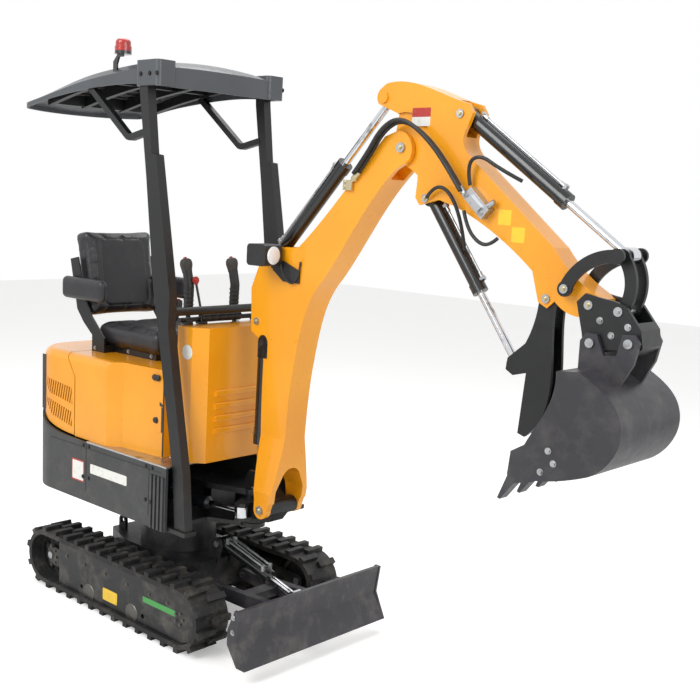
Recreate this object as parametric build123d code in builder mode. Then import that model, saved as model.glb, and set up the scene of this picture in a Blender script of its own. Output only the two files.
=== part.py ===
from build123d import *
from math import atan2, cos, degrees, hypot, pi, radians, sin
import os

os.makedirs("parts", exist_ok=True)

# Frame: millimetres, X forward, Y to the operator's left, Z up.
# The origin is on the ground, under the axis that the upper structure slews about.

# Undercarriage sizes
machine_width = 820.0
shoe_width = 170.0
belt_radius = 122.0
belt_thickness = 20.0
lug_height = 18.0
lug_thickness = 26.0
lug_count = 32
wheelbase = 934.0
rear_axle_x = -459.0
wheel_width = 60.0
wheel_gap = 3.0
track_frame_width = 90.0
roller_radius = 36.0
roller_count = 3
wheel_axle_radius = 16.0
car_body_half_length = 330.0
car_body_bottom = 130.0
car_body_top = 262.0
pedestal_radius = 170.0
slew_ring_radius = 150.0
slew_ring_height = 44.0
slew_ring_gap = 0.3

# Blade sizes
blade_height = 222.0
blade_thickness = 12.0
blade_face_x = 838.0
blade_bottom = 62.0
blade_pivot = (330.0, 172.0)
blade_arm_y = 105.0
blade_arm_thickness = 34.0

# Upper structure sizes
house_bottom = 452.0
deck_height = 715.0
house_half_width = 360.0
tail_x = -690.0
nose_x = 330.0
tail_corner_radius = 200.0
skirt_wall = 12.0
panel_wall = 8.0
body_front_x = 200.0
body_front_half_width = 272.0
body_rear_half_width = 342.0
body_top = 1085.0
hood_seam_x = -392.0
panel_seam = 6.0
hood_hinge = (-712.0, 735.0)
hinge_y = 120.0
hinge_strap_width = 30.0
hinge_lug_thickness = 10.0
hinge_pin_radius = 8.0

# Operator station sizes
seat_half_width = 205.0
seat_cushion_front = 55.0
seat_cushion_rear = -400.0
seat_cushion_bottom = 1118.0
seat_cushion_thickness = 92.0
seat_back_height = 400.0
seat_back_thickness = 105.0
seat_clearance = 0.3
console_rear_x = 235.0
console_front_x = 372.0
console_half_width = 238.0
console_bevel = 48.0
console_top = 1272.0
lever_x = 165.0
lever_y = 128.0
lever_top = 1520.0

# Canopy sizes
post_y = 315.0
post_width = 50.0
canopy_front_x = 208.0
canopy_rear_x = -815.0
canopy_half_width = 330.0
canopy_wall = 9.0
canopy_cap_x = 66.0
post_top_x = 103.0
roof_gap = 0.3
post_top_z = 2236.0

# Digging equipment pivots, as places in the plane of the boom
swing_axis_x = 470.0
boom_foot = (610.0, 567.0)
boom_rod_pin = (495.0, 663.0)
boom_barrel_pin = (500.0, 1310.0)
arm_barrel_pin = (548.0, 1570.0)
arm_pivot = (1166.0, 1981.0)
arm_rod_pin = (1070.0, 2150.0)
bucket_barrel_pin = (1392.0, 2090.0)
bucket_rod_pin = (2000.0, 1672.0)
idler_pivot = (1842.0, 1564.0)
bucket_pivot = (1918.0, 1522.0)
coupler_pin = (2015.0, 1512.0)
thumb_barrel_pin = (1275.0, 1815.0)
thumb_rod_pin = (1655.0, 1300.0)
thumb_pivot = (1765.0, 1525.0)
blade_barrel_pin = (300.0, 330.0)
blade_rod_pin = (735.0, 215.0)
swing_barrel_pin = (0.0, -190.0)
swing_rod_pin = (512.0, -112.0)
swing_cylinder_z = 540.0

# Fits between pieces
pin_fit = 0.05
side_gap = 2.0
barrel_slot_half = 29.0
rod_fit = 0.4

# Digging equipment widths
boom_half_width = 57.0
boom_leg_outer = 104.0
boom_leg_inner = 78.0
arm_half_width = 46.0
eye_half_width = 22.0
pin_radius = 14.0
foot_pin_radius = 17.0
arm_root_half = arm_half_width - 10
root_radius = 118.0


def write(piece, label):
    piece.part.label = label
    export_step(piece.part, f"parts/{label}.step")
    print(label, len(piece.part.solids()), round(piece.part.volume))


def side_plane(y=0.0):
    return Plane.XZ.offset(-y)


def both_sides(half_gap, thickness):
    middle = half_gap + thickness / 2
    return (side_plane(middle), side_plane(-middle))


def track_loop(radius, mode=Mode.ADD):
    with Locations((rear_axle_x + wheelbase / 2, wheel_z)):
        SlotCenterToCenter(wheelbase, 2 * radius, mode=mode)


wheel_z = belt_radius + lug_height
front_axle_x = rear_axle_x + wheelbase
track_y = (machine_width - shoe_width) / 2
belt_inner_radius = belt_radius - belt_thickness


def loop_place(distance, radius):
    """Place and outward turn of a point that far along the loop of the track."""
    half_turn = pi * radius
    total = 2 * wheelbase + 2 * half_turn
    distance = distance % total
    if distance < wheelbase:
        return (rear_axle_x + distance, wheel_z + radius, 90.0)
    distance -= wheelbase
    if distance < half_turn:
        turn = 90.0 - degrees(distance / radius)
        return (front_axle_x + radius * cos(radians(turn)), wheel_z + radius * sin(radians(turn)), turn)
    distance -= half_turn
    if distance < wheelbase:
        return (front_axle_x - distance, wheel_z - radius, -90.0)
    distance -= wheelbase
    turn = -90.0 - degrees(distance / radius)
    return (rear_axle_x + radius * cos(radians(turn)), wheel_z + radius * sin(radians(turn)), turn)


def build_track(side, label):
    pitch = (2 * wheelbase + 2 * pi * belt_radius) / lug_count
    lug_root = 3.0
    lug_length = shoe_width * 0.56
    with BuildPart() as track:
        with BuildSketch(side_plane(side * track_y)):
            track_loop(belt_radius)
            track_loop(belt_inner_radius, Mode.SUBTRACT)
        extrude(amount=shoe_width / 2, both=True)
        for row, offset in ((-1, 0.0), (1, 0.5)):
            row_y = side * track_y + row * (shoe_width - lug_length) / 2
            with BuildSketch(side_plane(row_y)):
                for number in range(lug_count):
                    x, z, turn = loop_place((number + offset) * pitch, belt_radius)
                    lift = (lug_height - lug_root) / 2
                    place = (x + lift * cos(radians(turn)), z + lift * sin(radians(turn)))
                    with Locations(Location((place[0], place[1], 0), (0, 0, turn))):
                        Rectangle(lug_height + lug_root, lug_thickness)
            extrude(amount=lug_length / 2, both=True)
    write(track, label)


for side, name in ((-1, "right"), (1, "left")):
    build_track(side, f"track_{name}")


# Track frames
frame_top = wheel_z + 52.0
frame_bottom = wheel_z - 78.0
frame_rear_x = rear_axle_x + 112.0
frame_front_x = front_axle_x + 30.0
frame_box_front_x = front_axle_x - belt_inner_radius - 5
cover_gap = 14.0
cover_thickness = 9.0
cover_radius = belt_inner_radius - 5
cover_rear_x = rear_axle_x + 98.0
roller_axle_radius = 10.0
roller_axle_z = wheel_z - belt_inner_radius + roller_radius + 1.0


def build_track_frame(side, label):
    with BuildPart() as frame:
        with BuildSketch(side_plane(side * track_y)):
            with BuildLine():
                Polyline(
                    (frame_rear_x, frame_bottom),
                    (frame_rear_x, frame_top),
                    (front_axle_x - 160, frame_top),
                    (frame_box_front_x, wheel_z + 30),
                    (frame_box_front_x, frame_bottom),
                    close=True,
                )
            make_face()
        extrude(amount=track_frame_width / 2, both=True)
        for plane in (side_plane(side * track_y + 38), side_plane(side * track_y - 38)):
            with BuildSketch(plane):
                with Locations(((frame_box_front_x - 20 + frame_front_x) / 2, wheel_z)):
                    RectangleRounded(frame_front_x - frame_box_front_x + 20, 64, 28)
                with Locations((front_axle_x, wheel_z)):
                    Circle(wheel_axle_radius + pin_fit, mode=Mode.SUBTRACT)
            extrude(amount=7, both=True)
        for plane in (side_plane(side * track_y + 38), side_plane(side * track_y - 38)):
            with BuildSketch(plane):
                with Locations((rear_axle_x + 70, wheel_z)):
                    RectangleRounded(200, 84, 40)
                with Locations((rear_axle_x, wheel_z)):
                    Circle(wheel_axle_radius + pin_fit, mode=Mode.SUBTRACT)
            extrude(amount=7, both=True)
        outer_face = track_y + track_frame_width / 2
        with BuildSketch(side_plane(side * (outer_face + cover_gap / 2))):
            with Locations(((cover_rear_x + frame_box_front_x) / 2, wheel_z)):
                Rectangle(frame_box_front_x - cover_rear_x - 60, 84)
        extrude(amount=cover_gap / 2 + 1, both=True)
        with BuildSketch(side_plane(side * (outer_face + cover_gap + cover_thickness / 2))):
            with Locations(((cover_rear_x + front_axle_x) / 2, wheel_z)):
                Rectangle(front_axle_x - cover_rear_x, 2 * cover_radius)
            with Locations((front_axle_x, wheel_z)):
                Circle(cover_radius)
        extrude(amount=cover_thickness / 2, both=True)
        with BuildSketch(Plane.XY.offset(frame_bottom)):
            with Locations(((frame_rear_x + front_axle_x - 70) / 2, side * track_y)):
                Rectangle(front_axle_x - 110 - frame_rear_x, wheel_width + 2 * wheel_gap)
        extrude(amount=roller_axle_z + roller_radius + 4 - frame_bottom, mode=Mode.SUBTRACT)
        roller_spacing = (front_axle_x - 70 - frame_rear_x) / (roller_count + 0.5)
        for number in range(roller_count):
            with BuildSketch(side_plane(side * track_y)):
                with Locations((frame_rear_x + (number + 0.75) * roller_spacing, roller_axle_z)):
                    Circle(roller_axle_radius + pin_fit)
            extrude(amount=track_frame_width, both=True, mode=Mode.SUBTRACT)
    write(frame, label)


for side, name in ((-1, "right"), (1, "left")):
    build_track_frame(side, f"track_frame_{name}")


# Wheels, axles and rollers inside the tracks
seat_gap = 0.3
wheel_radius = belt_inner_radius - seat_gap


def build_wheels(label, axle_x, hub_radius, tooth_count):
    with BuildPart() as wheels:
        for side in (-1, 1):
            with BuildSketch(side_plane(side * track_y)):
                with Locations((axle_x, wheel_z)):
                    Circle(wheel_radius)
                    Circle(wheel_axle_radius + pin_fit, mode=Mode.SUBTRACT)
            extrude(amount=wheel_width / 2, both=True)
            for plane in both_sides(wheel_width / 2 - 12, 12):
                with BuildSketch(plane.offset(-side * track_y)):
                    with Locations((axle_x, wheel_z)):
                        Circle(wheel_radius - 16)
                        Circle(hub_radius, mode=Mode.SUBTRACT)
                extrude(amount=6.01, both=True, mode=Mode.SUBTRACT)
            if tooth_count:
                with BuildSketch(side_plane(side * track_y)):
                    with Locations((axle_x, wheel_z)):
                        with PolarLocations(wheel_radius - 30, tooth_count):
                            SlotOverall(26, 15)
                extrude(amount=wheel_width, both=True, mode=Mode.SUBTRACT)
    write(wheels, label)


build_wheels("drive_sprockets", rear_axle_x, 44, 10)
build_wheels("front_idlers", front_axle_x, 30, 0)

with BuildPart() as bottom_rollers:
    for side in (-1, 1):
        for number in range(roller_count):
            x = frame_rear_x + (number + 0.75) * (front_axle_x - 70 - frame_rear_x) / (roller_count + 0.5)
            with BuildSketch(side_plane(side * track_y)):
                with Locations((x, roller_axle_z)):
                    Circle(roller_radius)
            extrude(amount=wheel_width / 2, both=True)
            with BuildSketch(side_plane(side * track_y)):
                with Locations((x, roller_axle_z)):
                    Circle(roller_axle_radius)
            extrude(amount=track_frame_width / 2 + 4, both=True)
write(bottom_rollers, "bottom_rollers")

with BuildPart() as wheel_axles:
    for side in (-1, 1):
        for axle_x in (rear_axle_x, front_axle_x):
            with BuildSketch(side_plane(side * track_y)):
                with Locations((axle_x, wheel_z)):
                    Circle(wheel_axle_radius)
            extrude(amount=track_frame_width / 2 + 6, both=True)
write(wheel_axles, "wheel_axles")

# Car body between the track frames, with the pedestal and the blade's lugs
inner_frame_y = track_y - track_frame_width / 2
blade_lug_thickness = 14.0
tie_eye = (-290.0, 298.0)
tie_eye_y = 90.0
tie_eye_radius = 13.0
tie_eye_thickness = 14.0
with BuildPart() as car_body:
    with BuildSketch(Plane.XY.offset(car_body_bottom)):
        with BuildLine():
            Polyline(
                (-car_body_half_length, 120),
                (-150, 190),
                (150, 190),
                (blade_pivot[0] - 30, 130),
                (blade_pivot[0] - 30, -130),
                (150, -190),
                (-150, -190),
                (-car_body_half_length, -120),
                close=True,
            )
        make_face()
    extrude(amount=car_body_top - car_body_bottom)
    for x in (-215, 175):
        with BuildSketch(Plane.XZ.offset(-inner_frame_y)):
            with Locations((x, (car_body_top + car_body_bottom) / 2 - 6)):
                RectangleRounded(110, 84, 14)
        extrude(amount=2 * inner_frame_y)
    with BuildSketch(Plane.XY.offset(car_body_top)):
        Circle(pedestal_radius)
    extrude(amount=house_bottom - slew_ring_height - slew_ring_gap - car_body_top, taper=4)
    for plane in both_sides(blade_arm_y + blade_arm_thickness / 2 + side_gap, blade_lug_thickness):
        with BuildSketch(plane):
            with BuildLine():
                Polyline(
                    (blade_pivot[0] - 90, car_body_bottom + 4),
                    (blade_pivot[0] - 90, car_body_top - 20),
                    (blade_pivot[0] + 10, blade_pivot[1] + 32),
                    (blade_pivot[0] + 32, blade_pivot[1] + 12),
                    (blade_pivot[0] + 32, blade_pivot[1] - 22),
                    (blade_pivot[0] + 12, blade_pivot[1] - 36),
                    close=True,
                )
            make_face()
        extrude(amount=blade_lug_thickness / 2, both=True)
    for plane in both_sides(barrel_slot_half, blade_lug_thickness):
        with BuildSketch(plane):
            with BuildLine():
                Polyline(
                    (blade_barrel_pin[0] - 70, car_body_top - 30),
                    (blade_barrel_pin[0] - 40, blade_barrel_pin[1] + 10),
                    (blade_barrel_pin[0] - 10, blade_barrel_pin[1] + 26),
                    (blade_barrel_pin[0] + 16, blade_barrel_pin[1] + 20),
                    (blade_barrel_pin[0] + 26, blade_barrel_pin[1] - 8),
                    (blade_barrel_pin[0], car_body_top - 30),
                    close=True,
                )
            make_face()
        extrude(amount=blade_lug_thickness / 2, both=True)
    with BuildSketch(side_plane()):
        with Locations(blade_pivot, blade_barrel_pin):
            Circle(pin_radius + pin_fit)
    extrude(amount=200, both=True, mode=Mode.SUBTRACT)
    for side in (-1, 1):
        with BuildSketch(side_plane(side * tie_eye_y)):
            with Locations((tie_eye[0], tie_eye[1] - 20)):
                Rectangle(48, 40)
            with Locations(tie_eye):
                Circle(24)
                Circle(tie_eye_radius, mode=Mode.SUBTRACT)
        extrude(amount=tie_eye_thickness / 2, both=True)
write(car_body, "car_body")

with BuildPart() as slew_ring:
    with BuildSketch(Plane.XY.offset(house_bottom - slew_ring_height - slew_ring_gap)):
        Circle(slew_ring_radius)
        Circle(slew_ring_radius - 45, mode=Mode.SUBTRACT)
    extrude(amount=slew_ring_height)
write(slew_ring, "slew_ring")


def build_pins(label, places):
    """Plain round pins: centre in the plane of the boom, radius, and half length."""
    with BuildPart() as pins:
        for place, radius, half_length in places:
            with BuildSketch(side_plane()):
                with Locations(place):
                    Circle(radius)
            extrude(amount=half_length, both=True)
    write(pins, label)


build_pins("car_body_pins", ((blade_barrel_pin, pin_radius, barrel_slot_half + blade_lug_thickness + 5),))

with BuildPart() as blade_pivot_pins:
    for plane in both_sides(blade_arm_y - blade_arm_thickness / 2 - 8, blade_arm_thickness + 34):
        with BuildSketch(plane):
            with Locations(blade_pivot):
                Circle(pin_radius)
        extrude(amount=blade_arm_thickness / 2 + 15, both=True)
write(blade_pivot_pins, "blade_pivot_pins")

# Dozer blade with its two push arms and the lugs of its cylinder
with BuildPart() as blade:
    with BuildSketch(side_plane()):
        with BuildLine():
            top = (blade_face_x - 6, blade_bottom + blade_height)
            crease = (blade_face_x - 22, blade_bottom + blade_height * 0.48)
            bottom = (blade_face_x + 34, blade_bottom)
            Polyline(
                top,
                crease,
                bottom,
                (bottom[0] - 16, bottom[1]),
                (crease[0] - blade_thickness, crease[1]),
                (top[0] - blade_thickness - 4, top[1] - 6),
                (top[0] - blade_thickness - 4, top[1]),
                close=True,
            )
        make_face()
    extrude(amount=machine_width / 2, both=True)
    end_plate = 10.0
    for plane in both_sides(machine_width / 2 - end_plate, end_plate):
        with BuildSketch(plane):
            with BuildLine():
                Polyline(
                    (top[0] + 2, top[1]),
                    (crease[0] + 4, crease[1]),
                    (bottom[0], bottom[1]),
                    (bottom[0] - 46, bottom[1]),
                    (crease[0] - 44, crease[1] - 30),
                    (crease[0] - 44, crease[1] + 30),
                    (top[0] - 24, top[1]),
                    close=True,
                )
            make_face()
        extrude(amount=end_plate / 2, both=True)
    for plane in both_sides(blade_arm_y - blade_arm_thickness / 2, blade_arm_thickness):
        with BuildSketch(plane):
            with BuildLine():
                Polyline(
                    (blade_pivot[0], blade_pivot[1] + 26),
                    (blade_pivot[0] + 80, blade_pivot[1] + 22),
                    (crease[0] - 6, crease[1] + 44),
                    (crease[0] - 6, crease[1] - 26),
                    (blade_pivot[0] + 80, blade_pivot[1] - 30),
                    (blade_pivot[0], blade_pivot[1] - 26),
                    close=True,
                )
            make_face()
            with Locations(blade_pivot):
                Circle(26)
                Circle(pin_radius + pin_fit, mode=Mode.SUBTRACT)
        extrude(amount=blade_arm_thickness / 2, both=True)
    with BuildSketch(side_plane()):
        with Locations((blade_pivot[0] + 190, blade_pivot[1] - 8)):
            Rectangle(60, 36)
    extrude(amount=blade_arm_y, both=True)
    for plane in both_sides(eye_half_width + side_gap, blade_lug_thickness):
        with BuildSketch(plane):
            with BuildLine():
                Polyline(
                    (blade_rod_pin[0] - 22, blade_rod_pin[1] + 12),
                    (blade_rod_pin[0] + 10, blade_rod_pin[1] + 26),
                    (crease[0] - 4, crease[1] + 70),
                    (crease[0] - 4, crease[1] - 20),
                    (blade_rod_pin[0] - 10, blade_rod_pin[1] - 22),
                    close=True,
                )
            make_face()
        extrude(amount=blade_lug_thickness / 2, both=True)
write(blade, "blade")


def build_cylinder(name, base, eye, barrel_length, shortest, barrel_radius, rod_radius, height=None):
    """Barrel and rod between two pins, in the plane of the boom or level at the given height."""
    along = Vector(eye[0] - base[0], eye[1] - base[1], 0)
    if height is None:
        work = Plane(origin=(base[0], 0, base[1]), x_dir=(along.X, 0, along.Y), z_dir=(0, -1, 0))
    else:
        work = Plane(origin=(base[0], base[1], height), x_dir=(along.X, along.Y, 0), z_dir=(0, 0, 1))
    length = along.length
    eye_radius = pin_radius + 13
    with BuildPart() as barrel:
        with BuildSketch(work):
            Circle(eye_radius)
        extrude(amount=eye_half_width, both=True)
        start = Plane(origin=work.from_local_coords(Vector(0, 0, 0)), x_dir=work.z_dir, z_dir=work.x_dir)
        with BuildSketch(start.offset(14)):
            Circle(barrel_radius)
        extrude(amount=barrel_length - 14)
        with BuildSketch(start.offset(barrel_length - 34)):
            Circle(barrel_radius + 3)
        extrude(amount=34)
        with BuildSketch(start.offset(eye_radius + 10)):
            Circle(rod_radius + rod_fit)
        extrude(amount=barrel_length, mode=Mode.SUBTRACT)
        with BuildSketch(work):
            Circle(pin_radius + pin_fit)
        extrude(amount=60, both=True, mode=Mode.SUBTRACT)
    write(barrel, f"{name}_cylinder_barrel")
    rod_length = shortest - eye_radius - 14
    with BuildPart() as rod:
        with BuildSketch(start.offset(length - rod_length)):
            Circle(rod_radius)
        extrude(amount=rod_length)
        with BuildSketch(work):
            with Locations((length, 0)):
                Circle(eye_radius)
        extrude(amount=eye_half_width, both=True)
    write(rod, f"{name}_cylinder_rod")


build_cylinder("blade", blade_barrel_pin, blade_rod_pin, 300, 409, 27, 14)
build_cylinder("swing", swing_barrel_pin, swing_rod_pin, 345, 396, 25, 13, swing_cylinder_z)
build_cylinder("boom", boom_barrel_pin, boom_rod_pin, 505, 625, 30, 15)
build_cylinder("arm", arm_barrel_pin, arm_rod_pin, 480, 548, 27, 14)
build_cylinder("bucket", bucket_barrel_pin, bucket_rod_pin, 475, 510, 25, 13)
build_cylinder("thumb", thumb_barrel_pin, thumb_rod_pin, 370, 425, 24, 13)


# Swing bracket that carries the boom's foot
ear_half_gap = 60.0
ear_thickness = 24.0
ear_radius = 50.0
swing_pin_radius = 20.0
hub_bottom = 472.0
hub_top = 588.0
clevis_outer = 40.0
foot_tube_radius = 34.0
leg_gap = 2.0
foot_tube_half = boom_leg_inner - leg_gap
with BuildPart() as swing_bracket:
    with BuildSketch(Plane.XY.offset(hub_bottom)):
        with Locations((swing_axis_x, 0)):
            Circle(46)
    extrude(amount=hub_top - hub_bottom)
    with BuildSketch(side_plane()):
        with BuildLine():
            Polyline(
                (swing_axis_x + 10, hub_bottom),
                (boom_foot[0] - 10, hub_bottom + 30),
                (boom_foot[0] + 24, boom_foot[1] - 22),
                (boom_foot[0] + 24, boom_foot[1] + 20),
                (boom_foot[0] - 20, boom_foot[1] + 50),
                (boom_rod_pin[0] + 44, boom_rod_pin[1] + 8),
                (boom_rod_pin[0] + 22, boom_rod_pin[1] + 30),
                (boom_rod_pin[0] - 20, boom_rod_pin[1] + 30),
                (boom_rod_pin[0] - 34, boom_rod_pin[1] + 10),
                (boom_rod_pin[0] - 34, boom_rod_pin[1] - 36),
                (swing_axis_x + ear_radius + 12, boom_rod_pin[1] - 36),
                (swing_axis_x + ear_radius + 12, hub_top),
                (swing_axis_x + 10, hub_top),
                close=True,
            )
        make_face()
    extrude(amount=clevis_outer, both=True)
    with BuildSketch(side_plane()):
        with Locations(boom_foot):
            Circle(foot_tube_radius)
    extrude(amount=foot_tube_half, both=True)
    slot_half = eye_half_width + side_gap
    with BuildSketch(side_plane()):
        with BuildLine():
            Polyline(
                (boom_rod_pin[0] - 60, hub_top + 18),
                (boom_rod_pin[0] + 66, hub_top + 18),
                (boom_rod_pin[0] + 66, boom_rod_pin[1] + 60),
                (boom_rod_pin[0] - 60, boom_rod_pin[1] + 60),
                close=True,
            )
        make_face()
    extrude(amount=slot_half, both=True, mode=Mode.SUBTRACT)
    with BuildSketch(Plane.XY.offset(swing_cylinder_z - 37)):
        with BuildLine():
            Polyline(
                (swing_axis_x - 30, -20),
                (swing_rod_pin[0] - 26, swing_rod_pin[1] - 4),
                (swing_rod_pin[0] - 12, swing_rod_pin[1] - 24),
                (swing_rod_pin[0] + 14, swing_rod_pin[1] - 24),
                (swing_rod_pin[0] + 26, swing_rod_pin[1] - 4),
                (swing_axis_x + 62, -20),
                close=True,
            )
        make_face()
    extrude(amount=74)
    with BuildSketch(Plane.XY.offset(swing_cylinder_z - eye_half_width - side_gap)):
        with Locations((swing_rod_pin[0], swing_rod_pin[1] - 4)):
            Rectangle(130, 84)
    extrude(amount=2 * (eye_half_width + side_gap), mode=Mode.SUBTRACT)
    with BuildSketch(Plane.XY.offset(hub_bottom - 1)):
        with Locations((swing_axis_x, 0)):
            Circle(swing_pin_radius + pin_fit)
    extrude(amount=hub_top - hub_bottom + 2, mode=Mode.SUBTRACT)
    with BuildSketch(side_plane()):
        with Locations(boom_foot):
            Circle(foot_pin_radius + pin_fit)
    extrude(amount=foot_tube_half + 1, both=True, mode=Mode.SUBTRACT)
write(swing_bracket, "swing_bracket")

# Boom: a box girder that splits into two legs at its foot
boom_rear_x = 548.0
boom_web_x = 592.0
recess_half = 44.0
leg_eye_radius = 36.0
with BuildPart() as boom:
    with BuildSketch(side_plane()):
        with BuildLine():
            Spline((boom_foot[0] - 34, 600), (562, 700), (boom_rear_x, 900), (boom_rear_x - 2, 1230))
            Line((boom_rear_x - 2, 1230), (470, 1268))
            Line((470, 1268), (462, 1440))
            Line((462, 1440), (506, 1545))
            Line((506, 1545), (560, 1606))
            Line((560, 1606), (706, 1612))
            Spline((706, 1612), (790, 1690), (928, 1836), (1092, 2018))
            Line((1092, 2018), (1138, 2034))
            Spline((1138, 2034), (1190, 2022), (1212, 1975), (1190, 1930))
            Line((1190, 1930), (1148, 1908))
            Spline((1148, 1908), (1050, 1800), (930, 1628), (838, 1500))
            Spline((838, 1500), (774, 1405), (726, 1240), (700, 1080), (684, 850), (662, 600))
            Line((662, 600), (boom_foot[0] - 34, 600))
        make_face()
        with Locations(boom_foot):
            Circle(leg_eye_radius)
        with BuildLine():
            Polyline(
                (boom_foot[0] - 35, boom_foot[1]),
                (boom_foot[0] + 35, boom_foot[1]),
                (664, 620),
                (574, 620),
                close=True,
            )
        make_face()
    extrude(amount=boom_leg_outer, both=True)
    with BuildSketch(Plane.YZ):
        with BuildLine():
            Polyline(
                (-boom_leg_outer, 500),
                (-boom_leg_outer, 640),
                (-boom_half_width, 860),
                (-boom_half_width, 2200),
                (boom_half_width, 2200),
                (boom_half_width, 860),
                (boom_leg_outer, 640),
                (boom_leg_outer, 500),
                close=True,
            )
        make_face()
        with BuildLine():
            Polyline((-boom_leg_inner, 400), (-boom_leg_inner, 650), (-46, 716))
            ThreePointArc((-46, 716), (0, 740), (46, 716))
            Polyline((46, 716), (boom_leg_inner, 650), (boom_leg_inner, 400), (-boom_leg_inner, 400))
        make_face(mode=Mode.SUBTRACT)
    extrude(amount=1400, mode=Mode.INTERSECT)
    with BuildSketch(side_plane()):
        with BuildLine():
            Polyline(
                (400, 640),
                (boom_web_x, 640),
                (boom_web_x, 1300),
                (560, 1362),
                (400, 1362),
                close=True,
            )
        make_face()
    extrude(amount=recess_half, both=True, mode=Mode.SUBTRACT)
    with BuildSketch(side_plane()):
        with BuildLine():
            Polyline(
                (420, 1500),
                (600, 1500),
                (640, 1560),
                (720, 1700),
                (420, 1700),
                close=True,
            )
        make_face()
    extrude(amount=32, both=True, mode=Mode.SUBTRACT)
    with BuildSketch(side_plane()):
        with Locations(boom_foot):
            Circle(foot_pin_radius + pin_fit)
        with Locations(boom_barrel_pin, arm_barrel_pin):
            Circle(pin_radius + pin_fit)
        with Locations(arm_pivot):
            Circle(foot_pin_radius + pin_fit)
    extrude(amount=200, both=True, mode=Mode.SUBTRACT)
    with BuildSketch(side_plane()):
        with BuildLine():
            Polyline(
                (arm_pivot[0] - 66, arm_pivot[1] + 110),
                (arm_pivot[0] - 66, arm_pivot[1] - 20),
                (arm_pivot[0] - 44, arm_pivot[1] - 62),
                (arm_pivot[0] + 20, arm_pivot[1] - 110),
                (arm_pivot[0] + 110, arm_pivot[1] - 60),
                (arm_pivot[0] + 110, arm_pivot[1] + 110),
                close=True,
            )
        make_face()
        with Locations(arm_pivot):
            Circle(root_radius + side_gap)
    extrude(amount=arm_root_half + side_gap, both=True, mode=Mode.SUBTRACT)
write(boom, "boom")

build_pins(
    "boom_pins",
    (
        (boom_foot, foot_pin_radius, boom_leg_outer + 8),
        (boom_barrel_pin, pin_radius, boom_half_width + 5),
        (arm_barrel_pin, pin_radius, boom_half_width + 5),
        (arm_pivot, foot_pin_radius, boom_half_width + 8),
    ),
)

# Arm
claw_outer = 36.0
with BuildPart() as arm:
    with BuildSketch(side_plane()):
        with BuildLine():
            Spline((1076, 2196), (1150, 2200), (1280, 2168), (1420, 2122))
            Line((1420, 2122), (1440, 2092))
            Line((1440, 2092), (1424, 2052))
            Spline((1424, 2052), (1410, 2006), (1440, 1956))
            Line((1440, 1956), (1776, 1682))
            Spline((1776, 1682), (1850, 1606), (1925, 1556))
            Line((1925, 1556), (1948, 1540))
            Line((1948, 1540), (1952, 1500))
            Line((1952, 1500), (1916, 1484))
            Spline((1916, 1484), (1850, 1486), (1795, 1520))
            Line((1795, 1520), (1770, 1496))
            Line((1770, 1496), (1738, 1512))
            Line((1738, 1512), (1708, 1606))
            Spline((1708, 1606), (1560, 1712), (1400, 1792))
            Line((1400, 1792), (1330, 1812))
            Line((1330, 1812), (1250, 1792))
            Line((1250, 1792), (1232, 1816))
            Line((1232, 1816), (1236, 1880))
            Spline((1236, 1880), (1190, 1914), (1130, 1950), (1122, 2030), (1132, 2096))
            Line((1132, 2096), (1048, 2128))
            ThreePointArc((1048, 2128), (1038, 2150), (1050, 2178))
            Line((1050, 2178), (1076, 2196))
        make_face()
    extrude(amount=arm_half_width, both=True)
    for plane in both_sides(arm_root_half, 60):
        with BuildSketch(plane):
            with Locations(arm_pivot):
                Circle(root_radius)
        extrude(amount=30, both=True, mode=Mode.SUBTRACT)
    with BuildSketch(side_plane()):
        with Locations(arm_rod_pin):
            Circle(pin_radius + 4)
    extrude(amount=arm_half_width + 7, both=True)
    with BuildSketch(side_plane()):
        with BuildLine():
            Polyline((960, 2050), (1060, 2070), (1112, 2100), (1142, 2150), (1146, 2260), (960, 2260), close=True)
        make_face()
        with BuildLine():
            Polyline((1340, 2090), (1372, 2040), (1500, 1960), (1500, 2200), (1372, 2140), close=True)
        make_face()
        with BuildLine():
            Polyline((1200, 1700), (1200, 1846), (1290, 1862), (1370, 1820), (1460, 1700), close=True)
        make_face()
    extrude(amount=barrel_slot_half, both=True, mode=Mode.SUBTRACT)
    with BuildSketch(side_plane()):
        with BuildLine():
            Polyline((1650, 1400), (1700, 1560), (1800, 1572), (1830, 1540), (1830, 1400), close=True)
        make_face()
    extrude(amount=claw_outer + side_gap, both=True, mode=Mode.SUBTRACT)
    with BuildSketch(side_plane()):
        with Locations(arm_pivot):
            Circle(foot_pin_radius + pin_fit)
        with Locations(bucket_barrel_pin, idler_pivot, bucket_pivot, thumb_barrel_pin, thumb_pivot):
            Circle(pin_radius + pin_fit)
    extrude(amount=200, both=True, mode=Mode.SUBTRACT)
write(arm, "arm")

idler_inner = 68.0
idler_thickness = 10.0
ear_inner = arm_half_width + side_gap
ear_plate = 12.0
build_pins(
    "arm_pins",
    (
        (bucket_barrel_pin, pin_radius, arm_half_width + 6),
        (idler_pivot, pin_radius, idler_inner + idler_thickness + 6),
        (bucket_pivot, pin_radius, ear_inner + ear_plate + 4),
        (thumb_barrel_pin, pin_radius, arm_half_width + 6),
        (thumb_pivot, pin_radius, arm_half_width + 6),
    ),
)


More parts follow.
